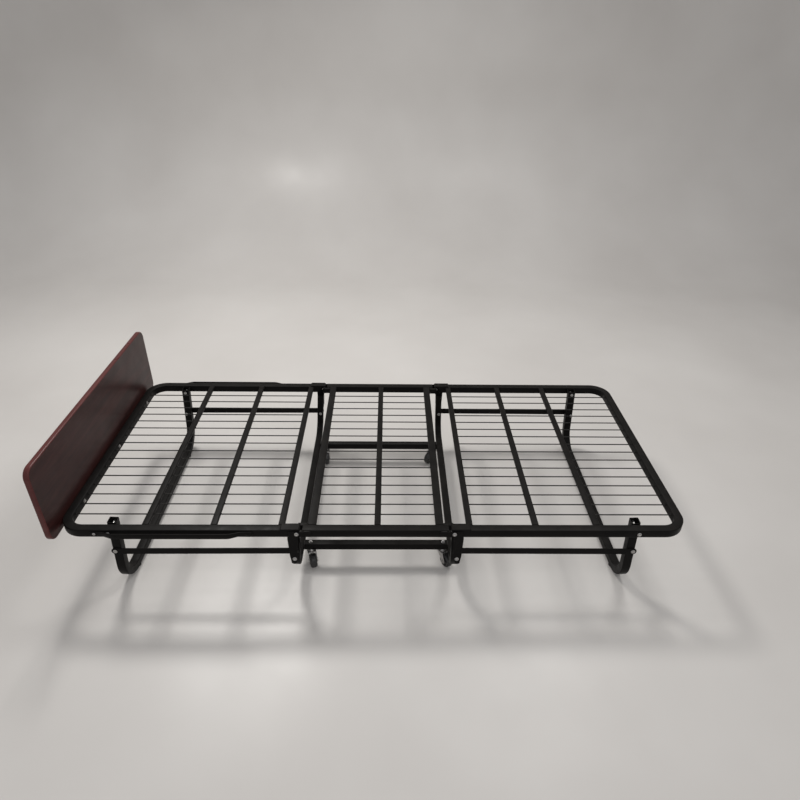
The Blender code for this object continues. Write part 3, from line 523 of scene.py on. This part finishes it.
def add_bead(bm, start, end, radius):
    """Rippled weld bead between two points, tapered at both ends."""
    pitch = 0.0045
    length = (end - start).length
    ripples = max(2, round(length / pitch))
    steps = ripples * 3
    profile = []
    for step in range(steps + 1):
        share = step / steps
        ripple = 0.84 + 0.16 * abs(math.sin(math.pi * share * ripples + 0.6))
        taper = min(1.0, 0.35 + min(share, 1 - share) * steps / 2.5)
        profile.append((radius * ripple * taper, length * share))
    add_turned(bm, start, end - start, profile, 8)


def add_square_weld(bm, centre, normal, across, size, radius):
    """Weld bead round the four sides of a square tube that meets a face."""
    other = normal.cross(across).normalized()
    half = size / 2
    signs = ((1, 1), (-1, 1), (-1, -1), (1, -1))
    corners = [centre + across * (a * half) + other * (b * half) for a, b in signs]
    for start, finish in zip(corners, corners[1:] + corners[:1]):
        add_bead(bm, start, finish, radius)


def add_hexagon(bm, origin, axis, across_flats, height):
    """Chamfered hexagon head or nut."""
    point = across_flats / math.sqrt(3)
    face, chamfer = point * 0.86, height * 0.16
    profile = [(face, 0.0), (point, chamfer), (point, height - chamfer), (face, height)]
    add_turned(bm, origin, axis, profile, 6)


def piece(bm, name, node, materials, bevel=0.0, angle=35):
    """Make a shown object on the body of a CAD node; the node's first piece also replaces it."""
    bmesh.ops.recalc_face_normals(bm, faces=bm.faces)
    mesh = bpy.data.meshes.new(name)
    bm.to_mesh(mesh)
    bm.free()
    mesh.shade_smooth()
    mesh.set_sharp_from_angle(angle=math.radians(angle))
    for material in materials:
        mesh.materials.append(MATERIALS[material])
    obj = bpy.data.objects.new(name, mesh)
    bpy.context.scene.collection.objects.link(obj)
    if bevel:
        modifier = obj.modifiers.new("soft_edges", "BEVEL")
        modifier.width = bevel
        modifier.segments = 2
        modifier.limit_method = "ANGLE"
        modifier.angle_limit = math.radians(40)
    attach(obj, frame["nodes"][node]["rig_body"])
    if node not in replaced:
        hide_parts(node)
        replaced.add(node)


replaced = set()

# ---- deck sections ------------------------------------------------------------------------


def wire_places():
    """Places of the wires across the bed."""
    return [(index - (WIRE_COUNT - 1) / 2) * WIRE_PITCH for index in range(WIRE_COUNT)]


def build_deck(node, bars, wire_start, wire_end):
    """Cross bars, each a place and a width, and wires of one section, with their welds."""
    half_y = RAIL_INSIDE - GAP
    bm = bmesh.new()
    z = DECK_Z - BAR_DEPTH / 2
    for x, width in bars:
        outline = rounded_rectangle(width, BAR_DEPTH, 0.0018, 4)
        add_solid(bm, straight(at(x, -half_y, z), at(x, half_y, z), AXIS_X, AXIS_Z), outline)
    piece(bm, f"{node}_bars", node, ["coat"])

    wires = bmesh.new()
    welds = bmesh.new()
    length, chamfer = wire_end - wire_start, 0.0006
    profile = [
        (WIRE_RADIUS * 0.7, 0.0),
        (WIRE_RADIUS, chamfer),
        (WIRE_RADIUS, length - chamfer),
        (WIRE_RADIUS * 0.7, length),
    ]
    reach, overlap = 0.002, 0.0012
    for y in wire_places():
        add_turned(wires, at(wire_start, y, WIRE_Z), AXIS_X, profile, 14)
        for x, width in bars:
            for hand in (-1, 1):
                if wire_start - reach < x + hand * width / 2 < wire_end + reach:
                    drop = at(x + hand * (width / 2 - overlap), y, WIRE_Z + overlap)
                    add_weld_drop(welds, drop, radius=0.0030)
    piece(wires, f"{node}_wires", node, ["wire"])
    for x, width in bars:
        low, high = x - width / 2, x + width / 2
        for side in (NEAR, FAR):
            y = side * (half_y - 0.0002)
            for edge in (low, high):
                top = at(edge, y, DECK_Z - 0.0015)
                add_bead(welds, top, at(edge, y, BAR_BOTTOM), radius=0.0013)
            add_bead(welds, at(low, y, BAR_BOTTOM), at(high, y, BAR_BOTTOM), radius=0.0015)
    piece(welds, f"{node}_welds", node, ["weld"], angle=70)


def add_weld_drop(bm, centre, radius):
    """Small squashed ball of weld metal."""
    profile = []
    steps = 4
    for step in range(steps + 1):
        angle = math.pi * (0.08 + 0.84 * step / steps)
        profile.append((radius * math.sin(angle) * 0.8, -radius * math.cos(angle)))
    add_turned(bm, centre, AXIS_X, profile, 8)


def build_decks():
    """The three decks; each wire ends at an end tube or a little past the middle of a bar."""
    past_bar = BAR_WIDTH * 0.3
    middle_reach = MIDDLE_BARS[-1] + past_bar
    middle_bars = list(zip(MIDDLE_BARS, (WIDE_BAR_WIDTH, BAR_WIDTH, WIDE_BAR_WIDTH)))
    build_deck("middle_deck", middle_bars, -middle_reach, middle_reach)
    reach = HALF_LENGTH - RAIL_TUBE - GAP
    head_bars, foot_bars = ([(x, BAR_WIDTH) for x in bars] for bars in (HEAD_BARS, FOOT_BARS))
    build_deck("head_deck", head_bars, -reach, HEAD_BARS[0] + past_bar)
    build_deck("foot_deck", foot_bars, FOOT_BARS[0] - past_bar, reach)


# ---- frames -------------------------------------------------------------------------------


def build_middle_rails():
    for side in (NEAR, FAR):
        bm = bmesh.new()
        y = side * RAIL_Y
        start, end = at(-MIDDLE_RAIL_HALF, y, RAIL_Z), at(MIDDLE_RAIL_HALF, y, RAIL_Z)
        add_tube(bm, straight(start, end, AXIS_Y, AXIS_Z), RAIL_TUBE)
        name = f"middle_rail_{SIDE_NAMES[side]}"
        piece(bm, f"{name}_tube", name, ["coat"])


def strap_outline():
    """Strap welded on top of the rail, reaching over the fold; measured from the fold pin."""
    top, bottom = FOLD_DROP + 0.004, FOLD_DROP - 0.0004
    return rounded_polygon(
        (
            (-0.0065, top, 0.0022),
            (-0.0120, bottom, 0.0006),
            (STRAP_LENGTH, bottom, 0.0006),
            (STRAP_LENGTH, top - 0.0022, 0.0008),
            (STRAP_LENGTH - 0.0035, top, 0.0022),
        ),
        5,
    )


def ear_outline():
    """Knuckle ear: round about the fold pin, straight to the rail."""
    radius, depth, top = 0.0112, 0.018, FOLD_DROP + 0.0007
    outline = [(depth, -radius), (depth, top), (-0.003, top)]
    steps = 20
    for step in range(steps + 1):
        angle = math.radians(105) + math.radians(165) * step / steps
        outline.append((radius * math.cos(angle), radius * math.sin(angle)))
    return outline


def build_end_frame(end):
    """U tube of the head or foot section, with its straps, ears and welds."""
    node = f"{END_NAMES[end]}_frame"
    bm = bmesh.new()
    reach = HALF_LENGTH - HALF_RAIL - FRAME_START
    origin = at(end * FRAME_START, 0, RAIL_Z)
    add_tube(bm, u_stations(origin, AXIS_X * end, reach, RAIL_Y, FRAME_BEND), RAIL_TUBE)
    piece(bm, f"{node}_tube", node, ["coat"])

    plates = bmesh.new()
    welds = bmesh.new()
    pivot = at(end * FOLD_X, 0, DECK_Z - FOLD_DROP)
    inside, outside = RAIL_INSIDE + 0.0002, RAIL_OUTSIDE - 0.0002
    for side in (NEAR, FAR):
        add_plate(plates, strap_outline(), pivot, end, side * inside, side * outside)
        for ear in (RAIL_INSIDE + 0.0006, RAIL_OUTSIDE - 0.0006 - EAR_PLATE):
            add_plate(plates, ear_outline(), pivot, end, side * ear, side * (ear + EAR_PLATE))
        x = end * (FOLD_X + STRAP_LENGTH)
        ends = [at(x, side * y, DECK_Z + 0.0004) for y in (inside + 0.003, outside - 0.003)]
        add_bead(welds, *ends, radius=0.0011)
    for y in wire_places():
        wire_end = at(end * (HALF_LENGTH - RAIL_TUBE - 0.0008), y, WIRE_Z)
        add_weld_drop(welds, wire_end, radius=0.0034)
    piece(plates, f"{node}_straps", node, ["coat"], bevel=0.0006)
    piece(welds, f"{node}_welds", node, ["weld"], angle=70)


def half_height(size, slant):
    """Half the height of a square tube with rounded corners that leans by slant."""
    corner = 0.0025
    return (size / 2 - corner) * (math.cos(slant) + math.sin(slant)) + corner


def add_leaning_u(bm, through, lean, top_z, bottom_z, size, bend):
    """U of square tube: arms from open tops at top_z, through a point, down to a cross tube."""
    down = Vector((math.sin(lean), 0, -math.cos(lean)))
    top = through + down * ((top_z - through.z) / down.z)
    cross_z = bottom_z + half_height(size, abs(lean))
    arm_y = ARM_OUTSIDE - size / 2
    add_tube(bm, u_stations(top, down, (cross_z - top.z) / down.z, arm_y, bend), size)


def build_leg(end):
    node = f"{END_NAMES[end]}_leg"
    bm = bmesh.new()
    pivot = at(end * LEG_X, 0, DECK_Z - LEG_DROP)
    add_leaning_u(bm, pivot, end * LEG_SLANT[end], LEG_TOP, LEG_BOTTOM, LEG_TUBE, LEG_BEND)
    piece(bm, f"{node}_tube", node, ["coat"])


def gusset_outline():
    """Gusset between a middle rail and the hoop's arm, measured from the deck over the fold pin."""
    return rounded_polygon(
        (
            (-0.032, -0.0245, 0.003),
            (-0.032, -0.0045, 0.002),
            (-0.0008, -0.0045, 0.002),
            (-0.0008, -0.080, 0.0004),
            (-0.0030, -0.080, 0.002),
            (-0.0050, -0.0245, 0.006),
        ),
        5,
    )


def build_hoop(end):
    """Fixed U under one end of the middle section, its two gussets, and the caster bar welds."""
    node = f"centre_hoop_{END_NAMES[end]}"
    through = at(end * (FOLD_X + HOOP_OUT), 0, DECK_Z - FOLD_DROP)
    bm = bmesh.new()
    lean = end * HOOP_SLANT[end]
    add_leaning_u(bm, through, lean, HOOP_TOP, HOOP_BOTTOM, HOOP_TUBE, HOOP_BEND)
    piece(bm, f"{node}_tube", node, ["coat"])

    plates = bmesh.new()
    welds = bmesh.new()
    origin = at(end * FOLD_X, 0, DECK_Z)
    for side in (NEAR, FAR):
        inside, outside = side * (ARM_OUTSIDE - 0.006), side * (RAIL_INSIDE - GAP)
        add_plate(plates, gusset_outline(), origin, end, inside, outside)
        low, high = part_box(f"caster_bar_{SIDE_NAMES[side]}")
        centre = (low + high) / 2
        centre.x = low.x if end == HEAD else high.x
        add_square_weld(welds, centre, AXIS_X, AXIS_Y, HOOP_TUBE - 0.001, radius=0.0016)
        y, z = side * (RAIL_INSIDE - 0.0008), DECK_Z - 0.0045
        length = 0.010
        for x in (FOLD_X - 0.030, FOLD_X - 0.012):
            add_bead(welds, at(end * x, y, z), at(end * (x + length), y, z), radius=0.0014)
    piece(plates, f"{node}_gussets", node, ["coat"], bevel=0.0008)
    piece(welds, f"{node}_welds", node, ["weld"], angle=70)


def build_caster_bars():
    for side in (NEAR, FAR):
        node = f"caster_bar_{SIDE_NAMES[side]}"
        low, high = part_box(node)
        centre, half = (low + high) / 2, AXIS_X * ((high.x - low.x) / 2)
        bm = bmesh.new()
        add_tube(bm, straight(centre - half, centre + half, AXIS_Y, AXIS_Z), HOOP_TUBE)
        piece(bm, f"{node}_tube", node, ["coat"])


def build_foot_pad(end, side):
    """Rubber stub with a moulded lip, pushed on under the leg."""
    node = f"foot_pad_{corner_name(end, side)}"
    low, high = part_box(node)
    foot = Vector(((low.x + high.x) / 2, (low.y + high.y) / 2, 0))
    profile = [
        (0.0078, 0.0),
        (0.0092, 0.0003),
        (0.0099, 0.0011),
        (0.0100, 0.0019),
        (0.0094, 0.0024),
        (0.0094, 0.0030),
        (0.0100, 0.0034),
        (0.0100, high.z),
    ]
    bm = bmesh.new()
    add_turned(bm, foot, AXIS_Z, profile, 40)
    piece(bm, f"{node}_stub", node, ["rubber"])


# ---- links, hinge plates and pins ---------------------------------------------------------


def build_link(end, side):
    """Flat bar with round ends, parallel to the line from the fold pin to the leg pin."""
    node = f"folding_link_{corner_name(end, side)}"
    tilt = math.atan2(FOLD_DROP - LEG_DROP, LEG_X - FOLD_X)
    cos, sin = math.cos(tilt), math.sin(tilt)
    radius = LINK_HEIGHT / 2
    outline = []
    steps = 20
    for centre, start in ((LINK_LENGTH, -math.pi / 2), (0.0, math.pi / 2)):
        for step in range(steps + 1):
            angle = start + math.pi * step / steps
            a, b = centre + radius * math.cos(angle), radius * math.sin(angle)
            outline.append((a * cos - b * sin, a * sin + b * cos))
    bm = bmesh.new()
    origin = at(end * (FOLD_X + LINK_OUT), 0, DECK_Z - FOLD_DROP - LINK_DROP)
    add_plate(bm, outline, origin, end, side * LINK_INSIDE, side * LINK_OUTSIDE)
    piece(bm, f"{node}_bar", node, ["coat"], bevel=0.0006)


def build_hinge_plate(end, side):
    """Plate welded outside the middle rail; it holds the fold pin and, lower down, the link's."""
    node = f"hinge_plate_{corner_name(end, side)}"
    upper_edge, lower_edge = -0.0035, -0.0240
    corners = (
        (-0.045, upper_edge, 0.002),
        (0.0240, upper_edge, 0.003),
        (0.0295, -0.0300, 0.010),
        (0.0265, -0.1080, 0.010),
        (0.0225, -0.1400, 0.0075),
        (0.0075, -0.1400, 0.0070),
        (0.0010, -0.1000, 0.020),
        (-0.0015, -0.0260, 0.0025),
        (-0.0090, lower_edge, 0.002),
        (-0.045, lower_edge, 0.002),
    )
    outline = rounded_polygon(corners, 10)
    origin = at(end * FOLD_X, 0, DECK_Z)
    bm = bmesh.new()
    add_plate(bm, outline, origin, end, side * HINGE_INSIDE, side * HINGE_OUTSIDE)
    piece(bm, f"{node}_steel", node, ["coat"], bevel=0.0006)
    welds = bmesh.new()
    y = side * (HINGE_INSIDE + 0.0004)
    for z in (DECK_Z + upper_edge, DECK_Z + lower_edge):
        start, finish = (at(end * (FOLD_X - back), y, z) for back in (0.042, 0.022))
        add_bead(welds, start, finish, radius=0.0016)
    piece(welds, f"{node}_welds", node, ["weld"], angle=70)


def domed_head(seat, height, radius, direction=1):
    """Profile of a rivet head with a struck dimple, from its centre to the shank."""
    shares = [(0.10, 0.42), (0.30, 0.48), (0.44, 0.92)]
    steps = 7
    for step in range(steps + 1):
        angle = math.pi / 2 * step / steps
        shares.append((0.56 + 0.44 * math.sin(angle), 0.12 + 0.88 * math.cos(angle) ** 0.8))
    profile = [(radius * a, seat + direction * height * b) for a, b in shares]
    return profile + [(radius, seat), (PIN_RADIUS, seat)]


def build_pin(kind, end, side, place, seat, height, collar, tail, plain=False):
    """Rivet across one side of the bed: outer head, spacer collar if any, inner head or end."""
    node = f"{kind}_{corner_name(end, side)}"
    out, drop = place
    pivot = at(end * out, 0, DECK_Z - drop)
    profile = domed_head(seat + GAP, height, PIN_HEAD_RADIUS)
    if collar:
        low, high, chamfer = collar[0] + GAP, collar[1] - GAP, 0.0003
        profile += [
            (PIN_RADIUS, high),
            (COLLAR_RADIUS - chamfer, high),
            (COLLAR_RADIUS, high - chamfer),
            (COLLAR_RADIUS, low + chamfer),
            (COLLAR_RADIUS - chamfer, low),
            (PIN_RADIUS, low),
        ]
    if plain:
        profile += [(PIN_RADIUS, tail + 0.0006), (PIN_RADIUS * 0.8, tail)]
    else:
        profile += list(reversed(domed_head(tail - GAP, PIN_HEAD, PIN_HEAD_RADIUS * 0.93, -1)))
    bm = bmesh.new()
    add_turned(bm, pivot, AXIS_Y * side, profile, 36)
    piece(bm, f"{node}_rivet", node, ["zinc"])


def build_pins(end, side):
    """The four rivets of one corner: name, place, seat and height of the head, collar, tail."""
    fold = FOLD_X, FOLD_DROP
    leg = LEG_X, LEG_DROP
    link_base = FOLD_X + LINK_OUT, FOLD_DROP + LINK_DROP
    link_leg = LEG_X + LINK_OUT, LEG_DROP + LINK_DROP
    base_collar = LINK_OUTSIDE, HINGE_INSIDE
    leg_collar = ARM_OUTSIDE, RAIL_INSIDE
    corner = end, side
    build_pin("fold_pin", *corner, fold, HINGE_OUTSIDE, PIN_HEAD, None, RAIL_INSIDE + GAP, True)
    for name, place, seat, height, collar, tail in (
        ("link_base_pin", link_base, HINGE_OUTSIDE, PIN_HEAD, base_collar, HOOP_ARM_INSIDE),
        ("leg_pin", leg, RAIL_OUTSIDE, PIN_HEAD, leg_collar, LEG_ARM_INSIDE),
        ("link_leg_pin", link_leg, LINK_OUTSIDE, LOW_HEAD, None, LEG_ARM_INSIDE),
    ):
        build_pin(name, *corner, place, seat, height, collar, tail)


# ---- headboard and guards -----------------------------------------------------------------


def build_headboard():
    """Laminated panel with rounded corners and a softened edge band."""
    low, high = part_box("headboard")
    thickness = high.x - low.x
    centre = (low + high) / 2
    steps = 5
    layers = []
    for step in range(steps + 1):
        angle = math.pi / 2 * step / steps
        depth, inset = BOARD_EDGE * (1 - math.cos(angle)), BOARD_EDGE * (1 - math.sin(angle))
        layers.append((depth, inset))
    layers += [(thickness - depth, inset) for depth, inset in reversed(layers)]
    width, height = high.y - low.y, high.z - low.z
    bm = bmesh.new()
    rings = []
    for depth, inset in layers:
        size = width - 2 * inset, height - 2 * inset
        start = Vector((low.x + depth, centre.y, centre.z))
        outline = rounded_rectangle(*size, BOARD_CORNER - inset, 14)
        rings += add_rings(bm, [(start, AXIS_Y, AXIS_Z)], outline)
    for face in skin(bm, rings):
        face.material_index = 1
    for ring in (rings[0], rings[-1]):
        middle = Vector((ring[0].co.x, centre.y, centre.z))
        inner = [bm.verts.new(v.co + (middle - v.co) * 0.004) for v in ring]
        skin(bm, [ring, inner])
        bm.faces.new(inner)
    piece(bm, "headboard_panel", "headboard", ["board", "band"], angle=50)


def build_board_bolt(index):
    """Hexagon-head bolt from the inside of the end tube into the headboard, on a washer."""
    node = f"headboard_bolt_{index}"
    low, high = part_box(node)
    seat = (low + high) / 2
    seat.x = high.x - 0.0028
    tip = low.x - seat.x
    shank = [(0.0026, tip), (0.0030, tip + 0.0008), (0.0030, 0.0)]
    washer = [(0.0060, 0.0), (0.0063, 0.0003), (0.0063, 0.0008), (0.0058, 0.0010), (0.0020, 0.0010)]
    bm = bmesh.new()
    add_turned(bm, seat, AXIS_X, shank + washer, 32)
    add_hexagon(bm, seat + AXIS_X * 0.0008, AXIS_X, across_flats=0.0080, height=0.0030)
    piece(bm, f"{node}_head", node, ["zinc"])


def guard_half_path(tab):
    """(distance from the tip, stand-off, height) of the bowed strip, from a tip to its full bow."""
    flat, ramp, bow, tall, low = 0.012, 0.052, 0.0120, 0.019, 0.015
    tip = ((0.0, 0.0065), (0.0006, 0.0035), (0.0018, 0.0012), (0.0034, 0.0))
    half = [(along, 0.0, low - cut) for along, cut in tip]
    half.append((tab + flat * 0.5, 0.0, low))
    steps = 18
    for step in range(steps + 1):
        share = step / steps
        eased = share * share * (3 - 2 * share)
        half.append((tab + flat + ramp * share, bow * eased, low + (tall - low) * eased))
    return half


def build_guard(side):
    """Strip bowed out from the rail, flat at both ends, with a bolt through each end."""
    node = f"side_guard_{SIDE_NAMES[side]}"
    start = GUARD_INNER_X - GUARD_INNER_TAB
    length = GUARD_OUTER_X + GUARD_OUTER_TAB - start
    path = guard_half_path(GUARD_INNER_TAB)
    for along, bow, height in reversed(guard_half_path(GUARD_OUTER_TAB)):
        path.append((length - along, bow, height))
    bm = bmesh.new()
    rings = []
    for index, (along, bow, height) in enumerate(path):
        before, after = path[max(index - 1, 0)], path[min(index + 1, len(path) - 1)]
        slope = math.atan2(after[1] - before[1], after[0] - before[0])
        middle = at(-(start + along), side * (RAIL_OUTSIDE + GAP + GUARD_PLATE / 2 + bow), GUARD_Z)
        across = Vector((math.sin(slope), side * math.cos(slope), 0))
        outline = rounded_rectangle(GUARD_PLATE, height, 0.0011, 3)
        rings += add_rings(bm, [(middle, across, AXIS_Z)], outline)
    skin(bm, rings)
    bm.faces.new(rings[0])
    bm.faces.new(rings[-1])
    piece(bm, f"{node}_strip", node, ["coat"])
    bolts = ("inner", GUARD_INNER_X, 0.0060, "coat"), ("outer", GUARD_OUTER_X, 0.0048, "zinc")
    for label, x, radius, look in bolts:
        bolt = bmesh.new()
        seat = at(-x, side * (RAIL_OUTSIDE + GAP + GUARD_PLATE), GUARD_Z)
        shank, rim, socket = 0.0030, 0.0004, 0.0018
        profile = [(shank, -GUARD_PLATE - 0.005), (shank, -rim), (radius, -rim), (radius, rim)]
        steps = 6
        for step in range(1, steps + 1):
            angle = math.pi / 2 * step / steps
            across = max(radius * math.cos(angle), socket)
            profile.append((across, rim + 0.0018 * math.sin(angle)))
        profile += [(0.0016, 0.0014), (0.0006, 0.0012)]
        add_turned(bolt, seat, AXIS_Y * side, profile, 32)
        piece(bolt, f"{node}_bolt_{label}", node, [look])


# ---- casters ------------------------------------------------------------------------------


def cheek_outline(trail, crown):
    """Side of the fork: round below the axle, up to its crown; (along the trail, height)."""
    radius = 0.0085
    points = []
    steps = 18
    for step in range(steps + 1):
        angle = math.radians(-170) + math.radians(185) * step / steps
        points.append((trail + radius * math.cos(angle), WHEEL_RADIUS + radius * math.sin(angle)))
    return points + [(0.016, crown - 0.0008), (-0.0105, crown - 0.0008), (-0.0105, crown - 0.004)]


def build_caster(end, side):
    """Fork, swivel bearing with its stem and nut, wheel and axle, headed the way the CAD's are."""
    label = corner_name(end, side)
    stem = joint_point(f"caster_swivel_{label}")
    axle = joint_point(f"wheel_spin_{label}")
    foot = Vector((stem.x, stem.y, 0))
    trail = Vector((axle.x, axle.y, 0)) - foot
    reach = trail.length
    trail.normalize()
    across = trail.cross(AXIS_Z)
    half = FORK_INSIDE / 2 + FORK_PLATE
    build_fork(f"caster_fork_{label}", foot, stem.z - FORK_DROP, reach, trail, across, half)
    build_swivel(f"caster_fork_{label}", foot, stem.z)
    build_wheel(f"caster_wheel_{label}", axle, trail, across)
    build_axle(f"caster_axle_{label}", axle, across, half + GAP)


def build_fork(node, foot, crown, reach, trail, across, half):
    fork = bmesh.new()
    middle = foot + trail * 0.00275
    stations = [(middle + AXIS_Z * z, across, trail) for z in (crown - FORK_PLATE, crown)]
    add_solid(fork, stations, rounded_rectangle(2 * half, FORK_LENGTH, 0.004, 5))
    for hand in (-1, 1):
        cheek = [(foot + across * (hand * d), trail, AXIS_Z) for d in (FORK_INSIDE / 2, half)]
        add_solid(fork, cheek, cheek_outline(reach, crown))
    piece(fork, f"{node}_body", node, ["zinc"], bevel=0.0007)


def build_swivel(node, foot, bar_bottom):
    """Bearing races between the fork and the bar, and the stem, washer and nut over the bar."""
    crown, bar_top = bar_bottom - FORK_DROP, bar_bottom + HOOP_TUBE
    race = [
        (0.0100, crown - 0.0008),
        (0.0118, crown + 0.0002),
        (0.0122, crown + 0.0016),
        (0.0116, crown + 0.0028),
        (0.0108, crown + 0.0032),
        (0.0108, crown + 0.0038),
        (0.0117, crown + 0.0042),
        (0.0119, bar_bottom - 0.0024),
        (0.0108, bar_bottom - 0.0008),
        (0.0104, bar_bottom - GAP),
        (STEM_RADIUS, bar_bottom - GAP),
    ]
    washer_top = bar_top + 0.0009
    washer = [
        (STEM_RADIUS, bar_top + GAP),
        (0.0062, bar_top + GAP),
        (0.0064, bar_top + 0.0005),
        (0.0062, washer_top),
        (STEM_RADIUS, washer_top),
    ]
    stack = bmesh.new()
    profile = race + washer + thread(bar_top + 0.0044, bar_top + 0.0075)
    add_turned(stack, foot, AXIS_Z, profile, 32)
    nut = foot + AXIS_Z * washer_top
    add_hexagon(stack, nut, AXIS_Z, across_flats=0.0098, height=0.0036)
    piece(stack, f"{node}_swivel", node, ["zinc"], angle=40)


def build_wheel(node, axle, trail, across):
    """Tyre, and a hub with two hollow sides and six spokes."""
    half_width = WHEEL_WIDTH / 2
    tread = [
        (0.0176, -half_width + 0.0010),
        (0.0190, -half_width + 0.0002),
        (0.0208, -half_width + 0.0001),
        (0.0226, -half_width + 0.0012),
        (0.0239, -half_width + 0.0028),
        (0.0247, -half_width + 0.0048),
        (WHEEL_RADIUS, -half_width + 0.0070),
        (WHEEL_RADIUS, -0.0012),
        (WHEEL_RADIUS - 0.0005, -0.0006),
    ]
    tread += [(radius, -along) for radius, along in reversed(tread)]
    tyre = bmesh.new()
    add_turned(tyre, axle, across, tread, 64, capped=False)
    piece(tyre, f"{node}_tyre", node, ["tyre"])

    disc = [
        (AXLE_RADIUS + GAP, -half_width + 0.0002),
        (0.0068, -half_width + 0.0002),
        (0.0076, -half_width + 0.0010),
        (0.0080, -half_width + 0.0034),
        (0.0164, -half_width + 0.0040),
        (0.0172, -half_width + 0.0012),
        (0.0180, -half_width + 0.0010),
    ]
    disc += [(radius, -along) for radius, along in reversed(disc)]
    hub = bmesh.new()
    add_turned(hub, axle, across, disc, 48, capped=False)
    spokes = 6
    for spoke in range(spokes):
        angle = 2 * math.pi * spoke / spokes
        out = trail * math.cos(angle) + AXIS_Z * math.sin(angle)
        along = out.cross(across)
        stations = [(axle + out * d, along, across) for d in (0.0072, 0.0170)]
        add_solid(hub, stations, rounded_rectangle(0.0022, WHEEL_WIDTH - 0.0050, 0.0006, 3))
    piece(hub, f"{node}_hub", node, ["hub"])


def build_axle(node, axle, across, seat):
    """Axle with a washer and a thin nut against each cheek of the fork."""
    shaft = [(AXLE_RADIUS * 0.9, seat + 0.0019), (AXLE_RADIUS, seat + 0.0012)]
    bolt = bmesh.new()
    profile = [(radius, -along) for radius, along in shaft] + shaft[::-1]
    add_turned(bolt, axle, across, profile, 32)
    washer = [
        (AXLE_RADIUS, seat),
        (0.0064, seat),
        (0.0065, seat + 0.0002),
        (0.0064, seat + 0.0005),
        (AXLE_RADIUS, seat + 0.0005),
    ]
    for hand in (-1, 1):
        add_turned(bolt, axle, across * hand, washer, 32)
        nut = axle + across * (hand * (seat + 0.0004))
        add_hexagon(bolt, nut, across * hand, across_flats=0.0104, height=0.0014)
    piece(bolt, f"{node}_bolt", node, ["zinc"])


def thread(low, high):
    """Profile of the stem's short threaded end between two heights."""
    profile = []
    pitch, root = 0.0008, STEM_RADIUS - 0.0003
    count = round((high - low) / pitch)
    for turn in range(count):
        z = low + turn * pitch
        profile += [(root, z), (STEM_RADIUS, z + pitch / 2)]
    return profile + [(root, high - 0.0004), (root - 0.0005, high)]


# ---- stage --------------------------------------------------------------------------------


def build_stage():
    """Pale floor that curves up into a plain backdrop."""
    front, back, half_width, top = -8.0, 2.3, 9.0, 7.0
    radius, steps = 1.2, 16
    sections = [(front, 0.0), (back, 0.0)]
    for step in range(1, steps + 1):
        angle = math.pi / 2 * step / steps
        sections.append((back + radius * math.sin(angle), radius * (1 - math.cos(angle))))
    sections.append((back + radius, top))
    bm = bmesh.new()
    rings = [[bm.verts.new((x, y, z)) for x in (-half_width, half_width)] for y, z in sections]
    for first, second in zip(rings, rings[1:]):
        bm.faces.new((first[0], first[1], second[1], second[0]))
    mesh = bpy.data.meshes.new("stage_floor")
    bm.to_mesh(mesh)
    bm.free()
    mesh.shade_smooth()
    mesh.materials.append(floor_material())
    floor = bpy.data.objects.new("stage_floor", mesh)
    bpy.context.scene.collection.objects.link(floor)


def add_area_light(name, location, target, size, power, colour):
    """Round light; its size in metres and its power in watts."""
    light = bpy.data.lights.new(name, "AREA")
    light.shape = "DISK"
    light.size = size
    light.energy = power
    light.color = colour
    obj = bpy.data.objects.new(name, light)
    obj.location = location
    obj.rotation_euler = (Vector(target) - Vector(location)).to_track_quat("-Z", "Y").to_euler()
    bpy.context.scene.collection.objects.link(obj)


def build_lights():
    """Even room light, two ceiling lights behind the bed and a soft one from the front."""
    world = bpy.data.worlds.new("studio")
    world.use_nodes = True
    background = world.node_tree.nodes["Background"]
    background.inputs["Color"].default_value = (0.93, 0.92, 0.92, 1.0)
    background.inputs["Strength"].default_value = 0.55
    bpy.context.scene.world = world
    add_area_light("ceiling_left", (-1.1, 1.5, 2.9), (-0.5, 0.0, 0.1), 0.7, 52.0, (1.0, 0.98, 0.95))
    add_area_light("ceiling_right", (1.3, 1.2, 3.0), (0.3, 0.0, 0.2), 0.9, 26.0, (1.0, 0.99, 0.97))
    add_area_light("front_fill", (0.2, -2.6, 3.0), (0.0, 0.0, 0.2), 2.4, 22.0, (0.98, 0.99, 1.0))


def build_camera():
    """Camera in front of the near side and above it, looking down and very slightly rolled."""
    place = 0.04585, -1.8481, 1.6254
    pitch, yaw, roll = math.radians(31.62), math.radians(-1.275), math.radians(0.971)
    ahead = Vector((-math.sin(yaw), math.cos(yaw), 0))
    right = Vector((math.cos(yaw), math.sin(yaw), 0))
    forward = ahead * math.cos(pitch) - AXIS_Z * math.sin(pitch)
    up = right.cross(forward)
    rolled_right = right * math.cos(roll) + up * math.sin(roll)
    rolled_up = up * math.cos(roll) - right * math.sin(roll)
    data = bpy.data.cameras.new("camera")
    data.sensor_width = 36.0
    data.lens = 27.64
    camera = bpy.data.objects.new("camera", data)
    turn = Matrix((rolled_right, rolled_up, -forward)).transposed().to_4x4()
    camera.matrix_world = Matrix.Translation(place) @ turn
    bpy.context.scene.collection.objects.link(camera)
    bpy.context.scene.camera = camera


# ---- assembly -----------------------------------------------------------------------------

build_decks()
build_middle_rails()
build_caster_bars()
for end in (HEAD, FOOT):
    build_end_frame(end)
    build_leg(end)
    build_hoop(end)
for end, side in CORNERS:
    build_link(end, side)
    build_hinge_plate(end, side)
    build_pins(end, side)
    build_foot_pad(end, side)
    build_caster(end, side)
build_headboard()
for index in (1, 2, 3):
    build_board_bolt(index)
for side in (NEAR, FAR):
    build_guard(side)
build_stage()
build_lights()
build_camera()

bpy.context.scene.view_settings.view_transform = "Standard"
